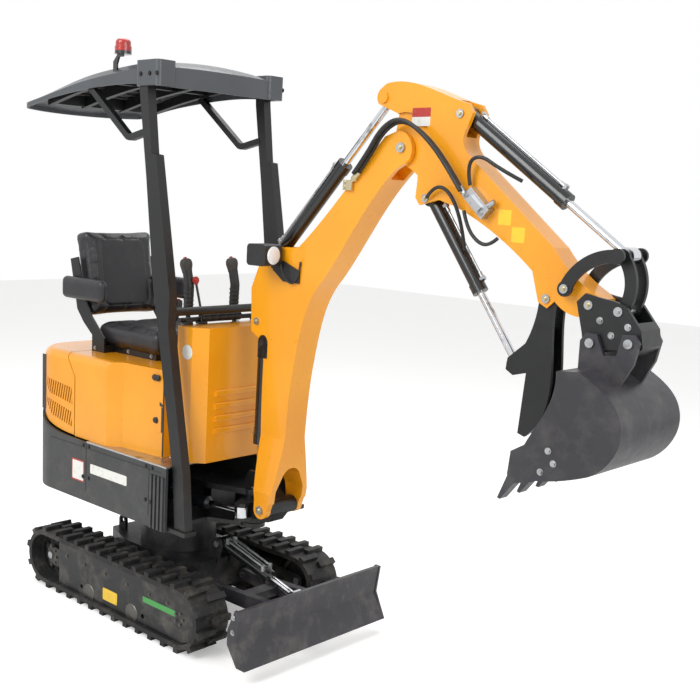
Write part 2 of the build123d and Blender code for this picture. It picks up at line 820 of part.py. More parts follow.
def build_links(label, start, end, bow, width, inner, thickness):
    """A pair of bowed link plates between two pins."""
    middle = ((start[0] + end[0]) / 2, (start[1] + end[1]) / 2)
    length = hypot(end[0] - start[0], end[1] - start[1])
    out = ((start[1] - end[1]) / length, (end[0] - start[0]) / length)
    crown = (middle[0] + bow * out[0], middle[1] + bow * out[1])
    with BuildPart() as links:
        for plane in both_sides(inner, thickness):
            with BuildSketch(plane):
                with BuildLine():
                    ThreePointArc(start, crown, end)
                trace(line_width=width)
                with Locations(start, end):
                    Circle(width / 2 + 4)
                with Locations(start):
                    Circle(pin_radius + pin_fit, mode=Mode.SUBTRACT)
            extrude(amount=thickness / 2, both=True)
    write(links, label)


build_links("idler_links", idler_pivot, bucket_rod_pin, 30, 40, idler_inner, idler_thickness)
build_links("coupler_links", coupler_pin, bucket_rod_pin, -26, 36, eye_half_width + 4, 14)

# Quick coupler between the arm and the bucket
bucket_pin_front = (1944.0, 1412.0)
bucket_pin_rear = (2066.0, 1424.0)
with BuildPart() as quick_coupler:
    with BuildSketch(side_plane()):
        with BuildLine():
            Polyline(
                (bucket_pivot[0] - 40, bucket_pivot[1] + 6),
                (bucket_pivot[0] - 14, bucket_pivot[1] + 34),
                (bucket_pivot[0] + 26, bucket_pivot[1] + 26),
                (coupler_pin[0] - 10, coupler_pin[1] + 28),
                (coupler_pin[0] + 22, coupler_pin[1] + 18),
                (bucket_pin_rear[0] + 26, bucket_pin_rear[1] + 40),
                (bucket_pin_rear[0] + 36, bucket_pin_rear[1] - 10),
                (bucket_pin_rear[0] + 10, bucket_pin_rear[1] - 36),
                (bucket_pin_rear[0] - 30, bucket_pin_rear[1] - 24),
                (bucket_pin_front[0] + 34, bucket_pin_front[1] - 18),
                (bucket_pin_front[0] + 6, bucket_pin_front[1] - 34),
                (bucket_pin_front[0] - 30, bucket_pin_front[1] - 20),
                (bucket_pin_front[0] - 40, bucket_pin_front[1] + 26),
                close=True,
            )
        make_face()
    extrude(amount=ear_inner + ear_plate, both=True)
    with BuildSketch(side_plane()):
        with BuildLine():
            Polyline(
                (bucket_pivot[0] - 90, bucket_pivot[1] - 80),
                (bucket_pivot[0] - 10, bucket_pivot[1] - 58),
                (coupler_pin[0] - 20, bucket_pivot[1] - 54),
                (coupler_pin[0] + 60, coupler_pin[1] - 34),
                (coupler_pin[0] + 60, coupler_pin[1] + 90),
                (bucket_pivot[0] - 90, bucket_pivot[1] + 90),
                close=True,
            )
        make_face()
    extrude(amount=ear_inner, both=True, mode=Mode.SUBTRACT)
    with BuildSketch(side_plane()):
        with Locations(bucket_pivot, coupler_pin):
            Circle(pin_radius + pin_fit)
        with Locations(bucket_pin_front, bucket_pin_rear):
            Circle(pin_radius + pin_fit)
    extrude(amount=200, both=True, mode=Mode.SUBTRACT)
write(quick_coupler, "quick_coupler")

bucket_ear_inner = ear_inner + ear_plate + side_gap
bucket_ear_plate = 14.0
build_pins(
    "coupler_pins",
    (
        (coupler_pin, pin_radius, ear_inner + ear_plate + 4),
        (bucket_pin_front, pin_radius, bucket_ear_inner + bucket_ear_plate + 8),
        (bucket_pin_rear, pin_radius, bucket_ear_inner + bucket_ear_plate + 8),
    ),
)

# Bucket: a bent shell between two side plates, with ears, side cutters and teeth
bucket_half_width = 190.0
bucket_wall = 7.0
bucket_lip = (1792.0, 978.0)
bucket_mouth_top = (1905.0, 1330.0)
tooth_tip = (1742.0, 905.0)
tooth_count = 4
tooth_width = 42.0
with BuildPart() as bucket:
    with BuildSketch(side_plane()) as bucket_side:
        with BuildLine():
            Line(bucket_mouth_top, (1975, 1338))
            Spline((1975, 1338), (2060, 1290), (2112, 1236), (2128, 1170), (2104, 1096), (2040, 1036))
            Spline((2040, 1036), (1950, 1004), (1792, 978))
            Spline((1792, 978), (1826, 1100), (1880, 1200), bucket_mouth_top)
        make_face()
    extrude(amount=bucket_half_width, both=True)
    with BuildSketch(side_plane()):
        with BuildLine():
            Line((1890, 1322), (1975, 1326))
            Spline((1975, 1326), (2050, 1280), (2100, 1230), (2116, 1170), (2092, 1102), (2034, 1045))
            Spline((2034, 1045), (1950, 1014), (1788, 989))
            Line((1788, 989), (1700, 1100))
            Line((1700, 1100), (1890, 1322))
        make_face()
    extrude(amount=bucket_half_width - bucket_wall, both=True, mode=Mode.SUBTRACT)
    for plane in both_sides(bucket_half_width - 14, 14):
        with BuildSketch(plane):
            with BuildLine():
                Polyline((1776, 1062), (1846, 1106), (1884, 1120), (1900, 1080), (1872, 1006), (1770, 984), close=True)
            make_face()
        extrude(amount=7, both=True)
    for plane in both_sides(bucket_ear_inner, bucket_ear_plate):
        with BuildSketch(plane):
            with BuildLine():
                Polyline(
                    (1912, 1322),
                    (bucket_pin_front[0] - 34, bucket_pin_front[1] + 4),
                    (bucket_pin_front[0] - 16, bucket_pin_front[1] + 30),
                    (bucket_pin_front[0] + 18, bucket_pin_front[1] + 28),
                    (1990, 1380),
                    (2030, 1384),
                    (bucket_pin_rear[0] - 22, bucket_pin_rear[1] + 24),
                    (bucket_pin_rear[0] + 16, bucket_pin_rear[1] + 28),
                    (bucket_pin_rear[0] + 32, bucket_pin_rear[1] + 4),
                    (bucket_pin_rear[0] + 20, bucket_pin_rear[1] - 60),
                    (2048, 1290),
                    (1975, 1330),
                    close=True,
                )
            make_face()
            with Locations(bucket_pin_front, bucket_pin_rear):
                Circle(pin_radius + pin_fit, mode=Mode.SUBTRACT)
        extrude(amount=bucket_ear_plate / 2, both=True)
    tooth_spacing = (2 * bucket_half_width - tooth_width) / (tooth_count - 1)
    for number in range(tooth_count):
        y = -bucket_half_width + tooth_width / 2 + number * tooth_spacing
        with BuildSketch(side_plane(y)):
            with BuildLine():
                Polyline(
                    tooth_tip,
                    (1772, 984),
                    (1862, 1002),
                    (1862, 982),
                    (1796, 962),
                    (1752, 902),
                    close=True,
                )
            make_face()
        extrude(amount=tooth_width / 2, both=True)
write(bucket, "bucket")

# Thumb: two claw plates joined by a hub and a cross plate
with BuildPart() as thumb:
    for plane in both_sides(eye_half_width + side_gap, claw_outer - eye_half_width - side_gap):
        with BuildSketch(plane):
            with BuildLine():
                Spline((1736, 1520), (1724, 1440), (1700, 1376))
                Line((1700, 1376), (1640, 1322))
                Line((1640, 1322), (1636, 1284))
                Line((1636, 1284), (1664, 1268))
                Line((1664, 1268), (1712, 1282))
                Spline((1712, 1282), (1706, 1180), (1700, 1084))
                Line((1700, 1084), (1726, 1076))
                Spline((1726, 1076), (1786, 1160), (1800, 1320), (1795, 1520))
                Line((1795, 1520), (1736, 1520))
            make_face()
            with Locations(thumb_pivot):
                Circle(32)
                Circle(pin_radius + pin_fit, mode=Mode.SUBTRACT)
        extrude(amount=(claw_outer - eye_half_width - side_gap) / 2, both=True)
    with BuildSketch(side_plane()):
        with Locations(thumb_pivot):
            Circle(30)
            Circle(pin_radius + pin_fit, mode=Mode.SUBTRACT)
        with Locations((1752, 1400)):
            RectangleRounded(30, 60, 8)
        with Locations((1756, 1200)):
            RectangleRounded(30, 50, 8)
    extrude(amount=eye_half_width + side_gap + 2, both=True)
write(thumb, "thumb")


# Frame of the upper structure: bottom plate, nose ears for the swing bracket, box ribs
frame_inset = skirt_wall + 0.3
nose_web_x = 190.0
post_foot_x = 392.0
with BuildPart() as slew_frame:
    with BuildSketch(Plane.XY.offset(house_bottom)):
        with BuildLine():
            Polyline(
                (tail_x + 90, house_half_width - 60),
                (tail_x + 205, house_half_width - frame_inset),
                (nose_x - frame_inset, house_half_width - frame_inset),
                (nose_x - frame_inset, 120),
                (swing_axis_x - 20, ear_radius),
                (swing_axis_x - 20, -ear_radius),
                (nose_x - frame_inset, -120),
                (nose_x - frame_inset, -house_half_width + frame_inset),
                (tail_x + 205, -house_half_width + frame_inset),
                (tail_x + 90, -house_half_width + 60),
                close=True,
            )
        make_face()
        with Locations((swing_axis_x, 0)):
            Circle(ear_radius)
        Circle(60, mode=Mode.SUBTRACT)
    extrude(amount=hub_bottom - side_gap - house_bottom)
    with BuildSketch(Plane.XY.offset(hub_top + side_gap)):
        with BuildLine():
            Polyline(
                (nose_web_x, 120),
                (nose_web_x + 110, 110),
                (swing_axis_x, ear_radius),
                (swing_axis_x, -ear_radius),
                (nose_web_x + 110, -110),
                (nose_web_x, -120),
                close=True,
            )
        make_face()
        with Locations((swing_axis_x, 0)):
            Circle(ear_radius)
    extrude(amount=ear_thickness)
    with BuildSketch(Plane.XY.offset(house_bottom + 2)):
        with Locations((nose_web_x + 25, 40)):
            Rectangle(50, 140)
    extrude(amount=hub_top + side_gap - house_bottom)
    with BuildSketch(Plane.XY.offset(house_bottom + 2)):
        with Locations((swing_barrel_pin[0] - 6, swing_barrel_pin[1])):
            Rectangle(64, 80)
    extrude(amount=swing_cylinder_z + 44 - house_bottom)
    with BuildSketch(Plane.XY.offset(swing_cylinder_z - barrel_slot_half)):
        with Locations((swing_barrel_pin[0] + 10, swing_barrel_pin[1])):
            Rectangle(100, 90)
    extrude(amount=2 * barrel_slot_half, mode=Mode.SUBTRACT)
    with BuildSketch(Plane.XY.offset(swing_cylinder_z - 60)):
        with Locations((swing_barrel_pin[0] - 48, swing_barrel_pin[1])):
            Rectangle(30, 80)
    extrude(amount=104)
    with BuildSketch(Plane.XY.offset(house_bottom - 20)):
        with Locations((swing_axis_x, 0)):
            Circle(swing_pin_radius + pin_fit)
        with Locations(swing_barrel_pin):
            Circle(pin_radius + pin_fit)
    extrude(amount=300, mode=Mode.SUBTRACT)
    for side in (-1, 1):
        with BuildSketch(Plane.XY.offset(house_bottom)):
            with Locations(((nose_x + post_foot_x) / 2, side * post_y)):
                Rectangle(post_foot_x - nose_x + 90, 60)
        extrude(amount=hub_bottom - side_gap - house_bottom)
write(slew_frame, "slew_frame")

with BuildPart() as swing_pins:
    with BuildSketch(Plane.XY.offset(house_bottom - 8)):
        with Locations((swing_axis_x, 0)):
            Circle(swing_pin_radius)
    extrude(amount=hub_top + side_gap + ear_thickness + 8 - house_bottom + 8)
    with BuildSketch(Plane.XY.offset(swing_cylinder_z - 52)):
        with Locations(swing_barrel_pin):
            Circle(pin_radius)
    extrude(amount=104)
write(swing_pins, "swing_pins")


def house_outline(inset):
    """Plan of the skirt: straight nose and square tail, set in by so much all round."""
    return (
        (tail_x + inset, house_half_width - inset),
        (nose_x, house_half_width - inset),
        (nose_x, -house_half_width + inset),
        (tail_x + inset, -house_half_width + inset),
    )


hood_line = (
    (tail_x - 10, 850),
    (tail_x + 70, 800),
    (tail_x + 190, 746),
    (tail_x + 330, 726),
    (tail_x + 470, deck_height + panel_seam),
)
skirt_line = (
    (tail_x - 10, 838),
    (tail_x + 70, 790),
    (tail_x + 190, 738),
    (tail_x + 330, 719),
    (tail_x + 470, deck_height),
)
with BuildPart() as skirt:
    with BuildSketch(Plane.XY.offset(house_bottom)) as skirt_plan:
        with BuildLine():
            Polyline(*house_outline(0), close=True)
        make_face()
        fillet(skirt_plan.vertices().group_by(Axis.X)[0], tail_corner_radius)
    extrude(amount=400)
    with BuildSketch(Plane.XY.offset(house_bottom)) as skirt_inside:
        with BuildLine():
            Polyline(*house_outline(skirt_wall), close=True)
        make_face()
        fillet(skirt_inside.vertices().group_by(Axis.X)[0], tail_corner_radius - skirt_wall)
    extrude(amount=400, mode=Mode.SUBTRACT)
    with BuildSketch(side_plane()):
        with BuildLine():
            Spline(skirt_line)
            Polyline(skirt_line[-1], (nose_x + 10, deck_height), (nose_x + 10, 900), (tail_x - 10, 900), skirt_line[0])
        make_face()
        with BuildLine():
            Polyline(
                (tail_x - 10, 400),
                (tail_x - 10, 560),
                (tail_x + 40, 490),
                (tail_x + 110, house_bottom),
                (tail_x + 110, 400),
                close=True,
            )
        make_face()
    extrude(amount=500, both=True, mode=Mode.SUBTRACT)
    for side in (-1, 1):
        for plane in both_sides(hinge_strap_width / 2 + side_gap, hinge_lug_thickness):
            with BuildSketch(plane.offset(-side * hinge_y)):
                with BuildLine():
                    Polyline(
                        (tail_x + 2, hood_hinge[1] + 34),
                        (hood_hinge[0], hood_hinge[1] + 14),
                        (hood_hinge[0] - 14, hood_hinge[1]),
                        (hood_hinge[0], hood_hinge[1] - 14),
                        (tail_x + 2, hood_hinge[1] - 34),
                        close=True,
                    )
                make_face()
            extrude(amount=hinge_lug_thickness / 2, both=True)
        with BuildSketch(side_plane(side * hinge_y)):
            with Locations(hood_hinge):
                Circle(hinge_pin_radius)
        extrude(amount=hinge_strap_width / 2 + side_gap + hinge_lug_thickness, both=True)
    for side in (-1, 1):
        for number in range(4):
            with BuildSketch(Plane.XY.offset(house_bottom)):
                with Locations((nose_x - 16 - number * 24, side * (house_half_width + 3))):
                    Rectangle(12, 8)
            extrude(amount=deck_height - 40 - house_bottom)
write(skirt, "skirt")


def body_outline(inset):
    """Plan of the panels above the deck: wide tail, waist, narrow front."""
    return (
        (tail_x + 8 + inset, body_rear_half_width - inset),
        (-96, body_rear_half_width - inset),
        (-40, body_front_half_width + 24 - inset),
        (body_front_x - inset, body_front_half_width - inset),
        (body_front_x - inset, -body_front_half_width + inset),
        (-40, -body_front_half_width - 24 + inset),
        (-96, -body_rear_half_width + inset),
        (tail_x + 8 + inset, -body_rear_half_width + inset),
    )


panel_bottom = deck_height + panel_seam
leg_room_x = 66.0
leg_room_y = -176.0
edge_round = 34.0
hood_side_seam_x = -330.0
grille_slots = 16
grille_pitch = 18.0
grille_leaves = (
    ((-618, 958), (-352, 934), (-345, 860), (-520, 884)),
    ((-585, 868), (-352, 826), (-345, 758), (-503, 786)),
)


def seam_outline(shift, side=1):
    """Everything on one side of the seam between the hood and the fixed panels."""
    far = tail_x - 100 if side < 0 else nose_x + 200
    return (
        (far, 1200),
        (hood_seam_x + shift, 1200),
        (hood_seam_x + shift, body_top - panel_wall),
        (hood_side_seam_x + shift, 985),
        (hood_side_seam_x + shift, 650),
        (far, 650),
    )


def build_body(label, keep_rear):
    with BuildPart() as hollow_space:
        with BuildSketch(Plane.XY.offset(panel_bottom)) as hollow:
            with BuildLine():
                Polyline(*body_outline(panel_wall), close=True)
            make_face()
            fillet(hollow.vertices().group_by(Axis.X)[0], 180 - panel_wall)
        extrude(amount=body_top - panel_wall - panel_bottom)
        top_edges = hollow_space.faces().sort_by(Axis.Z)[-1].edges()
        fillet(top_edges.filter_by_position(Axis.X, -900, -100), edge_round - panel_wall)
    with BuildPart() as body:
        with BuildSketch(Plane.XY.offset(panel_bottom)) as plan:
            with BuildLine():
                Polyline(*body_outline(0), close=True)
            make_face()
            fillet(plan.vertices().group_by(Axis.X)[0], 180)
        extrude(amount=body_top - panel_bottom)
        top_edges = body.faces().sort_by(Axis.Z)[-1].edges()
        fillet(top_edges.filter_by_position(Axis.X, -900, -100), edge_round)
        add(hollow_space.part, mode=Mode.SUBTRACT)
        if keep_rear:
            with BuildSketch(side_plane()):
                with BuildLine():
                    Spline(hood_line)
                    Polyline(
                        hood_line[-1], (hood_line[-1][0], 700), (hood_line[0][0], 700), hood_line[0]
                    )
                make_face()
                with BuildLine():
                    Polyline(*seam_outline(0), close=True)
                make_face()
            extrude(amount=500, both=True, mode=Mode.SUBTRACT)
            for leaf in grille_leaves:
                with BuildSketch(side_plane(-body_rear_half_width + panel_wall / 2)):
                    for number in range(grille_slots):
                        x = leaf[0][0] + (number + 0.5) * grille_pitch
                        with Locations(Location((x, leaf[0][1] - 60, 0), (0, 0, 76))):
                            Rectangle(300, grille_pitch * 0.5)
                    with BuildLine():
                        Polyline(*leaf, close=True)
                    make_face(mode=Mode.INTERSECT)
                extrude(amount=panel_wall, both=True, mode=Mode.SUBTRACT)
            for side in (-1, 1):
                with BuildSketch(side_plane(side * hinge_y)):
                    with BuildLine():
                        Polyline(
                            (tail_x + 9, 950),
                            (tail_x + 9, 880),
                            (tail_x - 7, 858),
                            (hood_hinge[0] + 14, hood_hinge[1]),
                            (hood_hinge[0] - 14, hood_hinge[1]),
                            (tail_x - 22, 880),
                            (tail_x - 2, 950),
                            close=True,
                        )
                    make_face()
                    with Locations(hood_hinge):
                        Circle(hinge_pin_radius + 8)
                        Circle(hinge_pin_radius + pin_fit, mode=Mode.SUBTRACT)
                extrude(amount=hinge_strap_width / 2, both=True)
        else:
            with BuildSketch(side_plane()):
                with BuildLine():
                    Polyline(*seam_outline(panel_seam, -1), close=True)
                make_face()
            extrude(amount=500, both=True, mode=Mode.SUBTRACT)
            with BuildSketch(Plane.XY.offset(panel_bottom - 1)):
                with BuildLine():
                    Polyline(
                        (leg_room_x, leg_room_y),
                        (leg_room_x, 400),
                        (300, 400),
                        (300, leg_room_y),
                        close=True,
                    )
                make_face()
            extrude(amount=500, mode=Mode.SUBTRACT)
            with BuildSketch(Plane.XY.offset(panel_bottom)):
                with Locations((leg_room_x - panel_wall / 2, 40)):
                    Rectangle(panel_wall, 2 * (body_front_half_width - 60))
            extrude(amount=body_top - panel_bottom)
    write(body, label)


build_body("rear_hood", True)
build_body("body_panels", False)

with BuildPart() as engine_block:
    with BuildSketch(Plane.XY.offset(hub_bottom - side_gap)):
        with Locations((-440, 0)):
            Rectangle(320, 380)
    extrude(amount=420)
write(engine_block, "engine_block")

with BuildPart() as floor_deck:
    with BuildSketch(Plane.XY.offset(deck_height)):
        with BuildLine():
            Polyline(
                (-210, house_half_width),
                (nose_x, house_half_width),
                (nose_x, -house_half_width),
                (-210, -house_half_width),
                close=True,
            )
        make_face()
    extrude(amount=panel_seam)
write(floor_deck, "floor_deck")

# Front console: a thin box with bevelled edges and louvres, open below
with BuildPart() as console:
    with BuildSketch(Plane.XY.offset(deck_height + panel_seam)) as console_plan:
        with BuildLine():
            Polyline(
                (console_rear_x, console_half_width),
                (console_front_x - console_bevel, console_half_width),
                (console_front_x, console_half_width - console_bevel),
                (console_front_x, -console_half_width + console_bevel),
                (console_front_x - console_bevel, -console_half_width),
                (console_rear_x, -console_half_width),
                close=True,
            )
        make_face()
    extrude(amount=console_top - deck_height - panel_seam)
    with BuildSketch(Plane.XY.offset(deck_height + panel_seam)):
        with BuildLine():
            Polyline(
                (console_rear_x + 6, console_half_width - 6),
                (console_front_x - console_bevel - 3, console_half_width - 6),
                (console_front_x - 6, console_half_width - console_bevel - 3),
                (console_front_x - 6, -console_half_width + console_bevel + 3),
                (console_front_x - console_bevel - 3, -console_half_width + 6),
                (console_rear_x + 6, -console_half_width + 6),
                close=True,
            )
        make_face()
    extrude(amount=console_top - 6 - deck_height - panel_seam, mode=Mode.SUBTRACT)
    for number in range(4):
        with BuildSketch(side_plane()):
            with Locations((console_front_x + 2, 850 + number * 52)):
                SlotOverall(26, 14, rotation=90)
        extrude(amount=150, both=True)
write(console, "console")

# Operator's seat on a low base, with two rear uprights that carry its back
back_lean = 10.0
seat_back_bottom = seat_cushion_bottom + 112.0
back_plane = Plane(
    origin=(seat_cushion_rear - 4, 0, seat_back_bottom),
    x_dir=(0, 1, 0),
    z_dir=(-cos(radians(back_lean)), 0, -sin(radians(back_lean))),
)
base_top = seat_cushion_bottom - seat_clearance
bracket_y = seat_half_width + seat_clearance
bracket_thickness = 8.0
base_rear_x = seat_cushion_rear + 16
armrest_rear_x = -560.0
armrest_front_x = -255.0
armrest_height = 62.0
armrest_width = 50.0
armrest_z = 1346.0
with BuildPart() as seat_base:
    with BuildSketch(Plane.XY.offset(body_top)):
        with Locations(((seat_cushion_front + seat_cushion_rear) / 2, 0)):
            Rectangle(330, 300)
    extrude(amount=base_top - body_top)
    with BuildSketch(Plane.XY.offset(body_top)):
        with Locations((base_rear_x + 45, 0)):
            Rectangle(90, 2 * (bracket_y + bracket_thickness))
    extrude(amount=base_top - body_top)
    for plane in both_sides(bracket_y, bracket_thickness):
        with BuildSketch(plane):
            with BuildLine():
                Polyline(
                    (base_rear_x + 90, body_top),
                    (base_rear_x, body_top),
                    (base_rear_x, body_top + 70),
                    (-450, 1205),
                    (-500, 1260),
                    (-556, 1480),
                    (-500, 1492),
                    (-440, 1300),
                    (-390, 1236),
                    (base_rear_x + 90, 1150),
                    close=True,
                )
            make_face()
        extrude(amount=bracket_thickness / 2, both=True)
write(seat_base, "seat_base")

# Armrests beside the seat's back
with BuildPart() as armrests:
    for side in (-1, 1):
        middle = side * (bracket_y + bracket_thickness + seat_clearance + armrest_width / 2)
        with BuildSketch(side_plane(middle)) as armrest_side:
            with BuildLine():
                Polyline(
                    (armrest_rear_x, armrest_z - 40),
                    (armrest_rear_x - 8, armrest_z + armrest_height - 30),
                    (armrest_front_x + 10, armrest_z + armrest_height - 10),
                    (armrest_front_x, armrest_z + 8),
                    (armrest_front_x - 60, armrest_z - 16),
                    close=True,
                )
            make_face()
            fillet(armrest_side.vertices(), 14)
        extrude(amount=armrest_width / 2, both=True)
write(armrests, "armrests")

with BuildPart() as seat_cushion:
    with BuildSketch(Plane.XY.offset(seat_cushion_bottom)):
        with Locations(((seat_cushion_front + seat_cushion_rear) / 2, 0)):
            RectangleRounded(seat_cushion_front - seat_cushion_rear, 2 * seat_half_width, 60)
    extrude(amount=seat_cushion_thickness)
    fillet(seat_cushion.faces().sort_by(Axis.Z)[-1].edges(), 26)
write(seat_cushion, "seat_cushion")

with BuildPart() as seat_back:
    with BuildSketch(back_plane):
        with Locations((0, -seat_back_height / 2)):
            RectangleRounded(2 * seat_half_width, seat_back_height, 60)
    extrude(amount=seat_back_thickness)

write(seat_back, "seat_back")

# Canopy: a moulded dome on two leaning posts with gussets, stays and a beacon
canopy_stations = (
    (canopy_rear_x, 2126, 2140, 4),
    (-620, 2158, 2190, 14),
    (-400, 2188, 2238, 20),
    (-200, 2204, 2268, 24),
    (0, 2208, 2284, 24),
    (130, 2199, 2282, 22),
    (canopy_front_x, 2192, 2256, 16),
)


def build_canopy_shell(inset, drop):
    """The dome set in by so much, with its lower rim moved down by the drop."""
    half = canopy_half_width - inset
    with BuildPart() as shell:
        for x, low, high, rise in canopy_stations:
            shoulder = min(26.0, 0.45 * (high - low))
            top = high - inset
            with BuildSketch(Plane.YZ.offset(x)):
                with BuildLine():
                    Line((-half, low - drop), (-half, top - shoulder))
                    Line((-half, top - shoulder), (-half + 30, top))
                    ThreePointArc((-half + 30, top), (0, top + rise), (half - 30, top))
                    Line((half - 30, top), (half, top - shoulder))
                    Line((half, top - shoulder), (half, low - drop))
                    Line((half, low - drop), (-half, low - drop))
                make_face()
        loft()
        with BuildSketch(Plane.XY.offset(2000)) as plan:
            with BuildLine():
                ThreePointArc(
                    (canopy_rear_x + 62 + inset, half), (canopy_rear_x + inset, 0), (canopy_rear_x + 62 + inset, -half)
                )
                Line((canopy_rear_x + 62 + inset, -half), (canopy_front_x - 26 - inset, -half))
                ThreePointArc(
                    (canopy_front_x - 26 - inset, -half), (canopy_front_x - inset, 0), (canopy_front_x - 26 - inset, half)
                )
                Line((canopy_front_x - 26 - inset, half), (canopy_rear_x + 62 + inset, half))
            make_face()
            fillet(plan.vertices(), 46 - inset)
        extrude(amount=400, mode=Mode.INTERSECT)
    return shell


canopy_hollow = build_canopy_shell(canopy_wall, 60)
canopy_outside = build_canopy_shell(0, 0)
with BuildPart() as canopy_roof:
    add(canopy_outside.part)
    for side in (-1, 1):
        with BuildSketch(Plane.XY.offset(2196)) as cap:
            with Locations(((canopy_cap_x + canopy_front_x) / 2 - 8, side * (canopy_half_width - 34))):
                RectangleRounded(canopy_front_x - canopy_cap_x, 96, 20)
        extrude(amount=96)
    add(canopy_hollow.part, mode=Mode.SUBTRACT)
    with BuildSketch(Plane.XY.offset(2100)):
        with Locations((post_top_x - 1, post_y), (post_top_x - 1, -post_y)):
            Rectangle(56, post_width - 8)
    extrude(amount=post_top_z + roof_gap - 2100, mode=Mode.SUBTRACT)
write(canopy_roof, "canopy_roof")

post_top = (post_top_x, post_top_z)
post_bottom = (post_foot_x, hub_bottom - side_gap)
stay_y = 306.0
with BuildPart() as canopy_posts:
    for side in (-1, 1):
        with BuildSketch(side_plane(side * post_y)):
            with BuildLine():
                Polyline(
                    (post_top[0] - 28, post_top[1]),
                    (post_top[0] + 22, post_top[1]),
                    (post_top[0] + 26, 2176),
                    (160, 1940),
                    (188, 1936),
                    (292, 1400),
                    (288, 1270),
                    (352, 950),
                    (404, 700),
                    (post_bottom[0] + 34, post_bottom[1]),
                    (post_bottom[0] - 30, post_bottom[1]),
                    (340, 700),
                    (290, 950),
                    (224, 1270),
                    (190, 1420),
                    (post_top[0] + 28, 1850),
                    (post_top[0] - 24, 2176),
                    close=True,
                )
            make_face()
        extrude(amount=post_width / 2 - 5, both=True)
    with BuildSketch(side_plane()):
        with Locations((262, 1330)):
            Circle(17)
    extrude(amount=post_y - post_width / 2 + 5 + 1, both=True)
write(canopy_posts, "canopy_posts")

with BuildPart() as canopy_stays:
    for side in (-1, 1):
        with BuildSketch(side_plane(side * stay_y)):
            with BuildLine():
                FilletPolyline((-300, 2222), (-12, 2001), (110, 2028), radius=40)
            trace(line_width=26)
        extrude(amount=13, both=True)
    add(canopy_posts.part, mode=Mode.SUBTRACT)
    add(canopy_roof.part, mode=Mode.SUBTRACT)
write(canopy_stays, "canopy_stays")

# Bars beneath the dome, shaped to its inner face
bar_width = 26.0
with BuildPart() as canopy_frame:
    for inner in (stay_y - 13 - bar_width, 92.0):
        for plane in both_sides(inner, bar_width):
            with BuildSketch(plane):
                with BuildLine():
                    Spline([(x, high - 46) for x, low, high, rise in canopy_stations[1:6]])
                    Polyline((130, 2282 - 46), (130, 2400), (-620, 2400), (-620, 2190 - 46))
                make_face()
            extrude(amount=bar_width / 2, both=True)
    for x, bottom in ((-606, 2152), (-230, 2226), (post_top_x, post_top_z)):
        with BuildSketch(Plane.XY.offset(bottom)):
            with Locations((x, 0)):
                Rectangle(bar_width + 8, 2 * (stay_y - 13))
        extrude(amount=200)
    with BuildSketch(Plane.XY.offset(post_top_z)):
        with Locations((post_top_x, 0)):
            Rectangle(bar_width + 8, 2 * (post_y + 2))
    extrude(amount=10)
    add(build_canopy_shell(canopy_wall + roof_gap, 200).part, mode=Mode.INTERSECT)
write(canopy_frame, "canopy_frame")

# Beacon on a small bracket at the right edge of the dome
beacon_place = (-78.0, -300.0)
beacon_base_z = 2327.0
with BuildPart() as beacon:
    with BuildSketch(Plane.XY.offset(beacon_base_z)):
        with Locations(beacon_place):
            Circle(34)
    extrude(amount=30)
    with BuildSketch(Plane.XY.offset(beacon_base_z + 30)):
        with Locations(beacon_place):
            Circle(31)
    extrude(amount=30)
    fillet(beacon.faces().sort_by(Axis.Z)[-1].edges(), 16)
    with BuildSketch(side_plane(-312)):
        with BuildLine():
            Polyline(
                (-122, 2240), (-98, 2240), (-98, 2290), (-86, 2316), (-60, 2316), (-60, 2328), (-94, 2328),
                (-122, 2300), close=True,
            )
        make_face()
    extrude(amount=4, both=True)
    add(canopy_outside.part, mode=Mode.SUBTRACT)
write(beacon, "beacon")



def build_bar(path_points, y, radius, bend):
    """A round bar along a bent path in an upright plane."""
    with BuildPart(mode=Mode.PRIVATE) as bar:
        with BuildLine(side_plane(y)) as path:
            FilletPolyline(*path_points, radius=bend)
        route = path.wires()[0]
        with BuildSketch(Plane(origin=route @ 0, z_dir=route % 0)):
            Circle(radius)
        sweep(path=route)
    return bar.part


# Levers on the floor ahead of the seat, with thick grips, a rail and a throttle lever
grip_radius = 20.0
stem_radius = 10.0
rail_x = 224.0
rail_z = 1290.0
stems = [
    build_bar(
        ((lever_x + 45, deck_height + panel_seam + 1), (lever_x + 30, 1180), (lever_x, 1300), (lever_x, 1340)),
        side * lever_y, stem_radius, 60,
    )
    for side in (-1, 1)
]
grips = [
    build_bar(((lever_x, 1316), (lever_x + 4, 1420), (lever_x - 22, lever_top)), side * lever_y, grip_radius, 50)
    for side in (-1, 1)
]
throttle = build_bar(((rail_x + 16, 1274), (rail_x + 6, 1340), (rail_x - 26, 1436)), -118, 5, 40)
with BuildPart() as control_levers:
    for piece in stems + grips + [throttle]:
        add(piece)
    with Locations((rail_x - 28, -118, 1444)):
        Sphere(13)
    for side in (-1, 1):
        with BuildSketch(side_plane(side * 190)):
            with Locations((rail_x + 12, (console_top + rail_z) / 2)):
                Rectangle(36, rail_z - console_top)
        extrude(amount=14, both=True)
    with BuildSketch(side_plane()):
        with Locations((rail_x, rail_z)):
            Circle(10)
    extrude(amount=224, both=True)
    with BuildSketch(Plane.XY.offset(console_top)):
        with Locations((rail_x + 16, -118)):
            Rectangle(40, 30)
    extrude(amount=10)
write(control_levers, "control_levers")

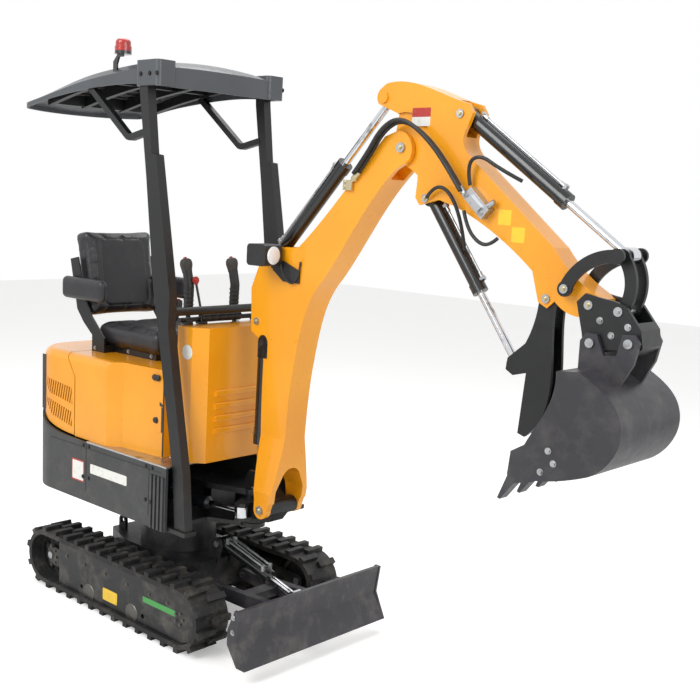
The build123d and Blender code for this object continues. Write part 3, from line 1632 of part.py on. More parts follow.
# Work lamp on the boom's side, on a bolted plate
lamp_y = -boom_half_width - 63
with BuildPart() as work_lamp:
    with BuildSketch(side_plane(-boom_half_width - 4 - seat_gap)):
        with BuildLine():
            Polyline((584, 1556), (640, 1556), (724, 1524), (724, 1478), (640, 1480), (584, 1520), close=True)
        make_face()
    extrude(amount=4, both=True)
    with BuildSketch(side_plane(-boom_half_width - 13)):
        with Locations((612, 1540)):
            Rectangle(50, 26)
    extrude(amount=8, both=True)
    with BuildSketch(side_plane(lamp_y)):
        with Locations((590, 1578)):
            RectangleRounded(100, 82, 16)
    extrude(amount=45, both=True)
write(work_lamp, "work_lamp")
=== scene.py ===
import math

import bmesh
import bpy
from mathutils import Matrix, Vector
from mathutils.bvhtree import BVHTree


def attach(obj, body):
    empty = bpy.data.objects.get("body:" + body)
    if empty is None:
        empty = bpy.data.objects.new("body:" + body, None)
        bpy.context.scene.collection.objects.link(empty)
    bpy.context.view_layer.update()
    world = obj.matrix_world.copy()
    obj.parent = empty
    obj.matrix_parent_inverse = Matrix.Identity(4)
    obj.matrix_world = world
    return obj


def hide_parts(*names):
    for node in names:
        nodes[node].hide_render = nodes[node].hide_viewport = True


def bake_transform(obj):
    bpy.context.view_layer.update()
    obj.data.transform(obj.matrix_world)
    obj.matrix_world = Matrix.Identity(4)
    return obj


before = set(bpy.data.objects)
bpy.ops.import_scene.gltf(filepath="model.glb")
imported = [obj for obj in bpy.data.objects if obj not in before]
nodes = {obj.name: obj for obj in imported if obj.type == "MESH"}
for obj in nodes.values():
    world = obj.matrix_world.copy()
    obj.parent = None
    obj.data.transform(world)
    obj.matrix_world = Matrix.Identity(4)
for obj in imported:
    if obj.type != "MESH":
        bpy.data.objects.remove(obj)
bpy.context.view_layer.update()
MM = 0.001
PHOTO_SIDE = 700

# Faces that small pieces stand on, and the seat's sizes, in millimetres as in the CAD
cover_face, panel_face, skirt_face, console_face = 393.0, 272, 360, 238
wheel_z, rear_axle_x, front_axle_x = 140, -459, 475
floor_top = 721.0
seat_half, seat_front, seat_rear = 205.0, 55.0, -400.0
seat_low, seat_high = 1118.0, 1210.0
back_thick, back_high, back_lean = 105.0, 400.0, 10.0
back_foot_x, back_foot_z = -404.0, 1230.0
rest_low, rest_high = 1306.0, 1408.0
lever_y = 128


# Colours and materials


def to_linear(code):
    """Linear colour with alpha from an sRGB hex code."""
    channels = [int(code[i : i + 2], 16) / 255 for i in (1, 3, 5)]
    return [c / 12.92 if c <= 0.04045 else ((c + 0.055) / 1.055) ** 2.4 for c in channels] + [1.0]


def add_node(tree, kind, values=None, links=None, **settings):
    """One node with its settings, its fixed values and the outputs that feed it."""
    made = tree.nodes.new(kind)
    for name, value in settings.items():
        setattr(made, name, value)
    for name, value in (values or {}).items():
        made.inputs[name].default_value = value
    for name, source in (links or {}).items():
        tree.links.new(source, made.inputs[name])
    return made


def start_material(name, **shader_values):
    """An empty material with a shader, its own values and object coordinates."""
    material = bpy.data.materials.new(name)
    material.use_nodes = True
    tree = material.node_tree
    shader = tree.nodes["Principled BSDF"]
    for socket, value in shader_values.items():
        shader.inputs[socket.replace("_", " ")].default_value = value
    place = add_node(tree, "ShaderNodeTexCoord").outputs["Object"]
    return material, tree, shader, place


def ramp_between(tree, source, low, high, low_out=0.0, high_out=1.0):
    """Stretches a grey value from low..high to low_out..high_out, held at both ends."""
    made = add_node(
        tree,
        "ShaderNodeMapRange",
        {"From Min": low, "From Max": high, "To Min": low_out, "To Max": high_out},
        {"Value": source},
    )
    return made.outputs["Result"]


def mix_colours(tree, factor, first, second):
    """Mixes two colours, each a hex code or another node's colour."""
    made = add_node(tree, "ShaderNodeMix", data_type="RGBA")
    for socket, colour in ((6, first), (7, second)):
        if isinstance(colour, str):
            made.inputs[socket].default_value = to_linear(colour)
        else:
            tree.links.new(colour, made.inputs[socket])
    if isinstance(factor, float):
        made.inputs[0].default_value = factor
    else:
        tree.links.new(factor, made.inputs[0])
    return made.outputs[2]


def coating(name, colour, shade, dust, roughness, grain_mm, bump, metallic=0.0, coat=0.0, dust_top=0.0):
    """A coated or moulded surface: its colour drifts a little, fine grain, and dust low down and in patches."""
    material, tree, shader, place = start_material(name, Metallic=metallic, Coat_Weight=coat, Coat_Roughness=0.08)
    drift = add_node(tree, "ShaderNodeTexNoise", {"Scale": 3.0, "Detail": 3.0}, {"Vector": place}).outputs["Fac"]
    base = mix_colours(tree, ramp_between(tree, drift, 0.35, 0.7), colour, shade)
    patches = add_node(
        tree, "ShaderNodeTexNoise", {"Scale": 11.0, "Detail": 8.0, "Roughness": 0.65}, {"Vector": place}
    )
    patch = ramp_between(tree, patches.outputs["Fac"], 0.48, 0.74)
    height = add_node(tree, "ShaderNodeSeparateXYZ", None, {"Vector": place}).outputs["Z"]
    low_down = ramp_between(tree, height, 0.0, 0.75, 1.0, dust_top)
    cover = add_node(tree, "ShaderNodeMath", operation="MULTIPLY", links={0: patch, 1: low_down}).outputs[0]
    cover = ramp_between(tree, cover, 0.0, 1.0, 0.0, dust)
    tree.links.new(mix_colours(tree, cover, base, "#8A8478"), shader.inputs["Base Color"])
    scuff = add_node(tree, "ShaderNodeTexNoise", {"Scale": 38.0, "Detail": 10.0, "Roughness": 0.7}, {"Vector": place})
    rough = ramp_between(tree, scuff.outputs["Fac"], 0.3, 0.75, roughness - 0.05, roughness + 0.1)
    tree.links.new(rough, shader.inputs["Roughness"])
    grain = add_node(tree, "ShaderNodeTexNoise", {"Scale": 1 / (grain_mm * MM), "Detail": 2.0}, {"Vector": place})
    raised = add_node(
        tree, "ShaderNodeBump", {"Strength": bump, "Distance": 0.0004}, {"Height": grain.outputs["Fac"]}
    )
    tree.links.new(raised.outputs["Normal"], shader.inputs["Normal"])
    return material


def plain_metal(name, colour, roughness, streak_mm, streak_axis, bump=0.15):
    """Bare or plated metal with fine lines that run along one axis."""
    material, tree, shader, place = start_material(name, Metallic=1.0)
    stretch = [1 / (streak_mm * MM)] * 3
    stretch[streak_axis] *= 0.03
    lines = add_node(tree, "ShaderNodeMapping", {"Scale": stretch}, {"Vector": place})
    brushed = add_node(tree, "ShaderNodeTexNoise", {"Scale": 1.0, "Detail": 3.0}, {"Vector": lines.outputs["Vector"]})
    stain = add_node(tree, "ShaderNodeTexNoise", {"Scale": 25.0, "Detail": 5.0}, {"Vector": place}).outputs["Fac"]
    dull = mix_colours(tree, ramp_between(tree, stain, 0.55, 0.75), colour, "#6F6D69")
    tree.links.new(dull, shader.inputs["Base Color"])
    rough = ramp_between(tree, brushed.outputs["Fac"], 0.3, 0.7, roughness - 0.04, roughness + 0.08)
    tree.links.new(rough, shader.inputs["Roughness"])
    raised = add_node(
        tree, "ShaderNodeBump", {"Strength": bump, "Distance": 0.0002}, {"Height": brushed.outputs["Fac"]}
    )
    tree.links.new(raised.outputs["Normal"], shader.inputs["Normal"])
    return material


# Two-pack enamel, sprayed: deep golden yellow with a wet gloss and a trace of orange peel.
yellow_enamel = coating("sprayed_yellow_enamel", "#F3A312", "#EC980A", 0.22, 0.30, 6.0, 0.05, coat=0.5)
# Grey plastic of the skirt, moulded: a soft sheen with a fine grain.
skirt_moulding = coating("moulded_grey_plastic", "#3C3D3E", "#343536", 0.28, 0.42, 1.6, 0.25, dust_top=0.4)
# Black powder coat on posts and brackets: a satin skin with a slight texture.
black_powder = coating("black_powder_coat", "#141517", "#0E0F10", 0.25, 0.36, 1.4, 0.25)
# Dark grey paint on the blade and bucket, a little chalky, scuffed by soil.
tool_paint = coating("dark_grey_tool_paint", "#35343A", "#2B2A2F", 0.35, 0.40, 2.2, 0.3, dust_top=0.5)
# Black gloss paint on the cylinder tubes.
cylinder_paint = coating("black_gloss_paint", "#15171A", "#0F1113", 0.15, 0.22, 5.0, 0.06, coat=0.4)
# Vulcanised rubber of the tracks: matt, near black, with dried soil in the hollows.
track_rubber = coating("vulcanised_rubber", "#1D1D1E", "#161617", 0.45, 0.62, 2.5, 0.5)
# Cast iron of wheels and hubs, painted black at the works.
cast_iron = coating("painted_cast_iron", "#1B1B1C", "#232324", 0.45, 0.48, 1.2, 0.6)
# Dark undercarriage paint.
frame_paint = coating("undercarriage_paint", "#17181A", "#1E1F21", 0.4, 0.38, 3.0, 0.2)
# Canopy shell, thermoformed plastic: grey with a soft shine and a fine leather grain.
canopy_shell = coating("thermoformed_plastic", "#4B4F54", "#424549", 0.1, 0.34, 1.2, 0.25, coat=0.15, dust_top=0.3)
# Black moulded plastic of lamp, grips and knobs.
black_moulding = coating("black_moulded_plastic", "#1A1A1B", "#222223", 0.15, 0.45, 0.9, 0.4, dust_top=0.3)
# Zinc plated steel of pins and fittings: pale, fine turned lines.
zinc_steel = plain_metal("zinc_plated_steel", "#B4B6B8", 0.32, 0.6, 1)
# The same plating, dulled by soil on the undercarriage.
zinc_dull = plain_metal("soiled_zinc_steel", "#6E6C68", 0.45, 0.6, 1)
# Hard chrome of the rods: a mirror with the faintest lines along it.
rod_chrome = plain_metal("hard_chrome", "#D5D8DC", 0.10, 0.4, 1, 0.05)
# Aluminium tread plate on the steps.
tread_plate = plain_metal("aluminium_tread_plate", "#C2C4C6", 0.36, 0.8, 0)

node_finish = {
    yellow_enamel: "rear_hood body_panels console boom arm",
    skirt_moulding: "skirt",
    black_powder: (
        "swing_bracket quick_coupler thumb idler_links coupler_links canopy_posts canopy_stays canopy_frame "
        "seat_base slew_frame engine_block"
    ),
    tool_paint: "blade bucket",
    cylinder_paint: (
        "blade_cylinder_barrel swing_cylinder_barrel boom_cylinder_barrel arm_cylinder_barrel "
        "bucket_cylinder_barrel thumb_cylinder_barrel"
    ),
    rod_chrome: (
        "blade_cylinder_rod swing_cylinder_rod boom_cylinder_rod arm_cylinder_rod bucket_cylinder_rod "
        "thumb_cylinder_rod"
    ),
    track_rubber: "track_right track_left",
    cast_iron: "drive_sprockets front_idlers bottom_rollers slew_ring",
    frame_paint: "car_body track_frame_right track_frame_left",
    canopy_shell: "canopy_roof",
    black_moulding: "control_levers work_lamp beacon seat_cushion seat_back armrests",
    zinc_steel: "car_body_pins blade_pivot_pins swing_pins boom_pins arm_pins coupler_pins wheel_axles",
    tread_plate: "floor_deck",
}
for finish, names in node_finish.items():
    for name in names.split():
        nodes[name].data.materials.clear()
        nodes[name].data.materials.append(finish)


# Camera at the photograph's place, with the small shift of its framing
def aim_camera():
    look_from = Vector((3.496, -2.996, 1.809))
    turn, tilt, roll = (math.radians(a) for a in (134.79, -10.81, 2.57))
    look = Vector((math.cos(turn) * math.cos(tilt), math.sin(turn) * math.cos(tilt), math.sin(tilt)))
    side = look.cross(Vector((0, 0, 1))).normalized()
    up = side.cross(look)
    rolled_side = math.cos(roll) * side + math.sin(roll) * up
    rolled_up = -math.sin(roll) * side + math.cos(roll) * up
    data = bpy.data.cameras.new("photo_camera")
    focal_pixels = 1065.6
    centre = (267.5, 396.7)
    data.sensor_width = 36.0
    data.lens = focal_pixels / PHOTO_SIDE * data.sensor_width
    data.shift_x = (PHOTO_SIDE / 2 - centre[0]) / PHOTO_SIDE
    data.shift_y = (centre[1] - PHOTO_SIDE / 2) / PHOTO_SIDE
    camera = bpy.data.objects.new("photo_camera", data)
    turned = Matrix((rolled_side, rolled_up, -look)).transposed().to_4x4()
    camera.matrix_world = Matrix.Translation(look_from) @ turned
    bpy.context.collection.objects.link(camera)
    bpy.context.scene.camera = camera


def light_studio():
    """Three large soft lamps and a pale world that is white to the eye."""
    for name, place, size, power in (
        ("key_lamp", (0.2, -4.6, 4.4), 3.2, 190),
        ("front_lamp", (5.4, -0.6, 2.6), 3.0, 75),
        ("top_lamp", (-0.6, 1.2, 5.6), 4.0, 130),
    ):
        data = bpy.data.lights.new(name, "AREA")
        data.size = size
        data.energy = power
        lamp = bpy.data.objects.new(name, data)
        lamp.location = place
        lamp.rotation_euler = (Vector((0.5, 0, 0.9)) - Vector(place)).to_track_quat("-Z", "Y").to_euler()
        bpy.context.collection.objects.link(lamp)
    world = bpy.data.worlds.new("studio_world")
    world.use_nodes = True
    bpy.context.scene.world = world
    tree = world.node_tree
    path = add_node(tree, "ShaderNodeLightPath").outputs
    seen = add_node(
        tree, "ShaderNodeMath", operation="MAXIMUM", links={0: path["Is Camera Ray"], 1: path["Is Glossy Ray"]}
    )
    seen = add_node(
        tree, "ShaderNodeMath", operation="MAXIMUM", links={0: seen.outputs[0], 1: path["Is Transmission Ray"]}
    )
    strength = ramp_between(tree, seen.outputs[0], 0.0, 1.0, 0.55, 1.0)
    back = tree.nodes["Background"]
    back.inputs["Color"].default_value = (1.0, 1.0, 1.0, 1.0)
    tree.links.new(strength, back.inputs["Strength"])
    bpy.context.scene.view_settings.view_transform = "Standard"


def lay_floor():
    bm = bmesh.new()
    bmesh.ops.create_grid(bm, x_segments=1, y_segments=1, size=14)
    mesh = bpy.data.meshes.new("studio_floor")
    bm.to_mesh(mesh)
    bm.free()
    floor = bpy.data.objects.new("studio_floor", mesh)
    material, tree, shader, place = start_material("pale_studio_floor", Roughness=0.85)
    tone = add_node(tree, "ShaderNodeTexNoise", {"Scale": 1.5, "Detail": 2.0}, {"Vector": place}).outputs["Fac"]
    tree.links.new(mix_colours(tree, tone, "#F4F4F3", "#EFEFEE"), shader.inputs["Base Color"])
    # To the eye alone the floor is lifted to white, so that it melts into the backdrop
    seen = add_node(tree, "ShaderNodeLightPath").outputs["Is Camera Ray"]
    shader.inputs["Emission Color"].default_value = to_linear("#FFFFFF")
    tree.links.new(ramp_between(tree, seen, 0.0, 1.0, 0.0, 0.35), shader.inputs["Emission Strength"])
    mesh.materials.append(material)
    bpy.context.collection.objects.link(floor)


aim_camera()
light_studio()
lay_floor()


# Shapes: each helper adds to a bmesh that holds one piece


def add_block(bm, low, high):
    made = bmesh.ops.create_cube(bm, size=1.0)["verts"]
    low, high = Vector(low), Vector(high)
    bmesh.ops.scale(bm, vec=high - low, verts=made)
    bmesh.ops.translate(bm, vec=(low + high) / 2, verts=made)
    return made


def add_plate(bm, outline, near, far):
    """A flat plate from an outline of (x, z) points, between two y places."""
    base = [bm.verts.new((x, near, z)) for x, z in outline]
    face = bm.faces.new(base)
    grown = bmesh.ops.extrude_face_region(bm, geom=[face])["geom"]
    moved = [g for g in grown if isinstance(g, bmesh.types.BMVert)]
    bmesh.ops.translate(bm, vec=(0, far - near, 0), verts=moved)
    return base + moved


def add_rod(bm, start, end, radius, sides=24, end_radius=None):
    """A round bar or cone between two points."""
    start, end = Vector(start), Vector(end)
    turned = (end - start).to_track_quat("Z", "Y").to_matrix().to_4x4()
    made = bmesh.ops.create_cone(
        bm,
        cap_ends=True,
        segments=sides,
        radius1=radius,
        radius2=radius if end_radius is None else end_radius,
        depth=(end - start).length,
        matrix=Matrix.Translation((start + end) / 2) @ turned,
    )
    return made["verts"]


def add_revolved(bm, profile, centre, axis, sides=32):
    """A turned shape: (radius, height) points spun about an axis through a centre."""
    turned = Matrix.Translation(Vector(centre)) @ Vector(axis).to_track_quat("Z", "Y").to_matrix().to_4x4()
    points = [bm.verts.new(turned @ Vector((radius, 0, height))) for radius, height in profile]
    edges = [bm.edges.new(pair) for pair in zip(points, points[1:])]
    made = bmesh.ops.spin(
        bm,
        geom=points + edges,
        cent=Vector(centre),
        axis=Vector(axis),
        angle=2 * math.pi,
        steps=sides,
        use_merge=True,
    )
    bmesh.ops.remove_doubles(bm, verts=bm.verts, dist=1e-3)
    return made


def add_bolts(bm, places, axis, radius, height):
    """Hexagon heads standing on the given places."""
    axis = Vector(axis).normalized()
    for place in places:
        place = Vector(place)
        add_rod(bm, place, place + axis * height * 0.25, radius * 1.35, 20)
        add_rod(bm, place + axis * height * 0.25, place + axis * height, radius, 6, radius * 0.94)


def finish_piece(name, bm, body, material, bevel=0.0, smooth=35.0):
    """Turns a bmesh into a piece that rides on a body."""
    bmesh.ops.remove_doubles(bm, verts=bm.verts, dist=1e-3)
    bmesh.ops.recalc_face_normals(bm, faces=bm.faces)
    bmesh.ops.scale(bm, vec=(MM, MM, MM), verts=bm.verts)
    mesh = bpy.data.meshes.new(name)
    bm.to_mesh(mesh)
    bm.free()
    piece = bpy.data.objects.new(name, mesh)
    bpy.context.collection.objects.link(piece)
    mesh.materials.append(material)
    if bevel:
        rounded = piece.modifiers.new("edge_round", "BEVEL")
        rounded.width = bevel * MM
        rounded.segments = 2
        rounded.limit_method = "ANGLE"
        rounded.angle_limit = math.radians(40)
    mesh.shade_smooth()
    mesh.set_sharp_from_angle(angle=math.radians(smooth))
    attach(piece, body)
    return piece


# More materials for the pieces


def flat_finish(name, colour, roughness, metallic=0.0, coat=0.0):
    """A small part's plain finish, with a little unevenness in its shine."""
    material, tree, shader, place = start_material(name, Metallic=metallic, Coat_Weight=coat)
    cloud = add_node(tree, "ShaderNodeTexNoise", {"Scale": 60.0, "Detail": 4.0}, {"Vector": place}).outputs["Fac"]
    rough = ramp_between(tree, cloud, 0.3, 0.7, roughness - 0.05, roughness + 0.08)
    tree.links.new(rough, shader.inputs["Roughness"])
    dull = mix_colours(tree, ramp_between(tree, cloud, 0.55, 0.85, 0.0, 0.35), colour, "#77736A")
    tree.links.new(dull, shader.inputs["Base Color"])
    return material


# Coated fabric of the seat: grey-black with a fine leather grain that breaks up its soft shine.
seat_vinyl = coating("embossed_seat_vinyl", "#26262A", "#1E1E22", 0.12, 0.38, 1.8, 0.55, coat=0.1, dust_top=0.5)
# Rubber of hoses and boots: black, matt, with a wrapped texture.
hose_rubber = coating("hose_rubber", "#171718", "#202021", 0.2, 0.5, 1.0, 0.3, dust_top=0.4)
# Grip rubber, moulded: a grey brown that hardly shines.
grip_rubber = coating("grip_rubber", "#3B3734", "#33302D", 0.1, 0.55, 1.2, 0.35, dust_top=0.2)
# Printed film of blank plates: flat colours under a clear skin.
film_white = flat_finish("white_label_film", "#E6E6E0", 0.35, coat=0.3)
film_yellow = flat_finish("yellow_label_film", "#F1C52A", 0.35, coat=0.3)
film_red = flat_finish("red_label_film", "#B3291F", 0.35, coat=0.3)
film_green = flat_finish("green_label_film", "#3C9A46", 0.35, coat=0.3)
film_black = flat_finish("black_panel_film", "#121213", 0.3, coat=0.3)
# Red knobs and tabs, injection moulded and glossy.
red_moulding = flat_finish("red_moulded_plastic", "#B5251C", 0.3)
orange_tab = flat_finish("orange_webbing", "#D9641E", 0.6)
# Perforated guard behind the grille, rusty brown in the shade.
guard_steel = coating("perforated_guard_steel", "#4A4038", "#3A322C", 0.2, 0.55, 1.5, 0.3)
# Yellow passivated zinc of hose fittings.
fitting_zinc = plain_metal("yellow_zinc_fitting", "#C7BD9C", 0.3, 0.5, 2)
# Clear lamp glass over a mirror bowl: its flat pale white base colour is a painted reflection of the bowl, as seen
# from outside.
painted_reflection_lamp_glass, _, glass_shader, _ = start_material("painted_reflection_lamp_glass", Roughness=0.08, Coat_Weight=1.0)
glass_shader.inputs["Base Color"].default_value = to_linear("#E9ECEF")


def two_part_finish(name, low_colour, high_colour, split_z):
    """The beacon: black base below a height, glossy red dome above it."""
    material, tree, shader, place = start_material(name, Roughness=0.2, Coat_Weight=0.6)
    height = add_node(tree, "ShaderNodeSeparateXYZ", None, {"Vector": place}).outputs["Z"]
    above = ramp_between(tree, height, split_z - 0.0005, split_z + 0.0005)
    ribs = add_node(tree, "ShaderNodeTexWave", {"Scale": 60.0}, {"Vector": place}, bands_direction="Z")
    tone = mix_colours(tree, ribs.outputs["Fac"], high_colour, "#8E1512")
    tree.links.new(mix_colours(tree, above, low_colour, tone), shader.inputs["Base Color"])
    return material


beacon_finish = two_part_finish("beacon_dome_and_base", "#121214", "#C22A20", 2.340)
nodes["beacon"].data.materials.clear()
nodes["beacon"].data.materials.append(beacon_finish)


# Places on the CAD parts, so that each small piece sits on its surface

trees = {}


def cast(names, start, toward):
    """Where a line from start, in millimetres, first meets one of the nodes."""
    best = None
    way = Vector(toward).normalized()
    for name in names.split():
        if name not in trees:
            mesh = nodes[name].data
            trees[name] = BVHTree.FromPolygons(
                [v.co for v in mesh.vertices], [list(p.vertices) for p in mesh.polygons]
            )
        hit, _, _, far = trees[name].ray_cast(Vector(start) * MM, way)
        if hit is not None and (best is None or far < best[1]):
            best = (hit / MM, far)
    return best[0] if best else None


def add_bolts_on(bm, names, places, toward, radius, height):
    """Bolt heads on the nodes' surface, where lines from the places meet it."""
    out = [-c for c in toward]
    found = [cast(names, place, toward) for place in places]
    add_bolts(bm, [p for p in found if p is not None], out, radius, height)


def add_label(bm, corner_low, corner_high, y, side, proud=0.8, inset=6.0):
    """A blank plate with rounded corners that stands on a side face."""
    (x0, z0), (x1, z1) = corner_low, corner_high
    outline = []
    left, right, low, high = x0 + inset, x1 - inset, z0 + inset, z1 - inset
    for cx, cz, start in ((right, high, 0), (left, high, 90), (left, low, 180), (right, low, 270)):
        for step in range(5):
            a = math.radians(start + step * 22.5)
            outline.append((cx + inset * math.cos(a), cz + inset * math.sin(a)))
    add_plate(bm, outline, y, y + side * proud)


def hose_line(points):
    """The smooth line of a hose through a route of control points, as a curve."""
    data = bpy.data.curves.new("hose_line", "CURVE")
    data.dimensions = "3D"
    data.resolution_u = 10
    spline = data.splines.new("NURBS")
    spline.points.add(len(points) - 1)
    for knot, place in zip(spline.points, points):
        knot.co = (*(Vector(place) * MM), 1.0)
    spline.order_u = 3
    spline.use_endpoint_u = True
    return bpy.data.objects.new("hose_line", data)


def add_hose(name, points, diameter, body, far_body=None):
    """A hose with both ends on the machine; where it crosses a joint it is left in place on no body."""
    line = hose_line(points)
    track = bpy.data.meshes.new_from_object(line)
    line.data.bevel_depth = diameter / 2 * MM
    line.data.bevel_resolution = 4
    line.data.use_fill_caps = True
    mesh = bpy.data.meshes.new_from_object(line)
    bpy.data.objects.remove(line)
    hose = bpy.data.objects.new(name, mesh)
    bpy.context.collection.objects.link(hose)
    mesh.materials.clear()
    mesh.materials.append(hose_rubber)
    mesh.shade_smooth()
    if far_body:
        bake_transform(hose)
    else:
        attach(hose, body)
    return hose


def add_ferrule(bm, end, toward, radius):
    """A hose end: crimped sleeve and hexagon nut, from the hose's end towards its port."""
    end, way = Vector(end), Vector(toward).normalized()
    add_rod(bm, end - way * 26, end, radius * 1.18, 20)
    add_rod(bm, end, end + way * 10, radius * 1.35, 6)
    add_rod(bm, end + way * 10, end + way * 20, radius * 0.8, 16)


# Tracks and lower frame


def detail_tracks():
    for side, name in ((-1, "right"), (1, "left")):
        face = side * cover_face
        bm = bmesh.new()
        for x in (-300, -165, -15, 135, 285, 400):
            add_bolts_on(bm, f"track_frame_{name}", [(x, side * 600, 182)], (0, -side, 0), 6.5, 5)
        for axle_x, count, ring in ((rear_axle_x, 9, 42), (front_axle_x, 5, 24)):
            places = [
                (
                    axle_x + ring * math.cos(2 * math.pi * i / count),
                    side * 600,
                    wheel_z + ring * math.sin(2 * math.pi * i / count),
                )
                for i in range(count)
            ]
            add_bolts_on(
                bm, f"drive_sprockets front_idlers wheel_axles track_frame_{name}", places, (0, -side, 0), 6.5, 6
            )
        for x, z in ((-131, 62), (170, 66)):
            add_revolved(bm, [(0, 5), (20, 5), (24, 3), (37, 3), (40, 0), (40, -2)], (x, face, z), (0, side, 0), 40)
        finish_piece(f"track_frame_bolts_{name}", bm, "undercarriage", zinc_dull, 0.0)
        bm = bmesh.new()
        add_label(bm, (-30, 66), (71, 119), face, side)
        finish_piece(f"cover_plate_yellow_{name}", bm, "undercarriage", film_yellow)
        bm = bmesh.new()
        add_label(bm, (244, 140), (452, 164), face, side, inset=4.0)
        finish_piece(f"cover_bar_green_{name}", bm, "undercarriage", film_green)


def detail_blade():
    bm = bmesh.new()
    add_bolts_on(bm, "blade", [(802, -600, z) for z in (254, 195)], (0, 1, 0), 8, 6)
    add_bolts_on(bm, "blade", [(802, 600, z) for z in (254, 195)], (0, -1, 0), 8, 6)
    finish_piece("blade_bolts", bm, "blade", zinc_steel)
    bm = bmesh.new()
    for y in (-20, 20):
        start, end = Vector((345, y, 352)), Vector((560, y, 295))
        add_rod(bm, start, end, 5, 16)
        add_rod(bm, start + Vector((0, 0, -16)), start + Vector((0, 0, 8)), 10, 6)
        add_rod(bm, end + Vector((0, 0, -16)), end + Vector((0, 0, 8)), 10, 6)
    finish_piece("blade_cylinder_pipes", bm, "blade_cylinder_barrel", zinc_steel)


# Upper body


def detail_body():
    bm = bmesh.new()
    add_label(bm, (-9, 965), (187, 1080), -panel_face, -1, 0.6)
    finish_piece("side_plate_white", bm, "house", film_white)
    bm = bmesh.new()
    add_label(bm, (45, 822), (197, 934), -panel_face, -1, 1.4, 14)
    arch = [(45, 934), (197, 934)] + [
        (121 + 76 * math.cos(math.radians(a)), 934 + 26 * math.sin(math.radians(a))) for a in range(15, 180, 15)
    ]
    add_plate(bm, arch, -panel_face, -panel_face - 2.5)
    finish_piece("switch_panel", bm, "house", film_black, 0.4)
    bm = bmesh.new()
    for x in (88, 152):
        button = [(0, 9), (9, 9), (11, 7), (13, 3), (18, 2.5), (19, 0), (19, -1)]
        add_revolved(bm, button, (x, -panel_face - 1.4, 872), (0, -1, 0), 40)
    for x in (147, 168):
        add_revolved(
            bm, [(0, 15), (10, 15), (13, 12), (13, 6), (8, 4), (8, -2)], (x, -panel_face, 1050), (0, -1, 0), 32
        )
    finish_piece("panel_buttons", bm, "house", black_moulding)
    bm = bmesh.new()
    add_revolved(bm, [(0, 0.8), (29, 0.8), (30, 0.2), (30, -0.5)], (296, -console_face, 1171), (0, -1, 0), 48)
    finish_piece("console_disc_white", bm, "house", film_white)
    # Vertical seal where the body panel turns the corner
    bm = bmesh.new()
    for edge in (-1, 1):
        near, far = sorted((edge * panel_face, edge * (panel_face + 3)))
        add_block(bm, (196, near, 724), (203, far, 1082))
    finish_piece("body_corner_seals", bm, "house", black_moulding, 0.8)
    # Skirt: panel joints, trim line, blank plates and bolts on both sides
    bm = bmesh.new()
    for edge in (-1, 1):
        near, far = sorted((edge * (skirt_face - 0.4), edge * (skirt_face + 0.9)))
        for x in (-212, 223):
            add_block(bm, (x - 1.8, near, 500), (x + 1.8, far, 712))
        add_block(bm, (-480, near, 690), (300, far, 693))
    finish_piece("skirt_joint_lines", bm, "house", black_moulding)
    bm = bmesh.new()
    for edge in (-1, 1):
        add_bolts_on(
            bm,
            "skirt",
            [(x, edge * 600, z) for x in (-232, -192, 203, 243) for z in (560, 700)],
            (0, -edge, 0),
            7,
            5,
        )
    finish_piece("skirt_bolts", bm, "house", black_moulding)
    bm = bmesh.new()
    add_label(bm, (-317, 533), (-225, 629), -skirt_face, -1, 0.5)
    finish_piece("skirt_plate_red_edge", bm, "house", film_red)
    bm = bmesh.new()
    add_label(bm, (-311, 539), (-231, 623), -skirt_face - 0.5, -1, 0.4, 4)
    add_label(bm, (-180, 586), (77, 628), -skirt_face, -1, 0.6, 5)
    finish_piece("skirt_plates_white", bm, "house", film_white)
    bm = bmesh.new()
    front = cast("skirt", (600, -170, 690), (-1, 0, 0))
    add_block(bm, (front.x - 1, -208, 671), (front.x + 0.8, -131, 709))
    finish_piece("front_plate_yellow", bm, "house", film_yellow)


def detail_hood():
    # Perforated guard behind the grille slots
    bm = bmesh.new()
    for side in (-1, 1):
        near, far = sorted((side * 326.0, side * 329.0))
        add_block(bm, (-600, near, 800), (-380, far, 1050))
    finish_piece("hood_guard", bm, "hood", guard_steel)
    # Latch at the tail, and the hinge straps' screws
    bm = bmesh.new()
    latch = cast("rear_hood", (-1200, 0, 1000), (1, 0, 0))
    add_revolved(
        bm, [(0, 9), (14, 9), (17, 6), (22, 3), (24, 0), (24, -3)], (latch.x, 0, 1000), (-1, 0, 0), 36
    )
    for y in (-120, 120):
        for z in (790, 822):
            place = cast("rear_hood", (-1200, y, z), (1, 0, 0))
            add_bolts(bm, [place], (-1, 0, 0), 6.5, 5)
    finish_piece("hood_latch", bm, "hood", zinc_steel)
    # Red reflectors either side
    bm = bmesh.new()
    for y in (-235, 235):
        place = cast("skirt", (-1200, y, 620), (1, 0, 0))
        add_revolved(
            bm, [(0, 6), (24, 6), (29, 4), (31, 0), (31, -8)], (place.x, y, 620), (-1, 0, 0), 40
        )
    finish_piece("rear_reflectors", bm, "house", red_moulding)
    bm = bmesh.new()
    place = cast("body_panels", (-60, 800, 985), (0, -1, 0))
    add_revolved(
        bm,
        [(0, 24), (26, 24), (31, 20), (33, 8), (40, 4), (42, 0), (42, -4)],
        (place.x, place.y, place.z),
        (0, 1, 0),
        48,
    )
    finish_piece("filler_cap", bm, "house", black_moulding)
    # Exhaust outlet under the tail
    bm = bmesh.new()
    add_revolved(
        bm, [(19, -30), (19, 26), (23, 26), (23, -30)], (-640, 230, 470), (-0.6, 0.1, -0.4), 32
    )
    finish_piece("exhaust_outlet", bm, "house", cast_iron)


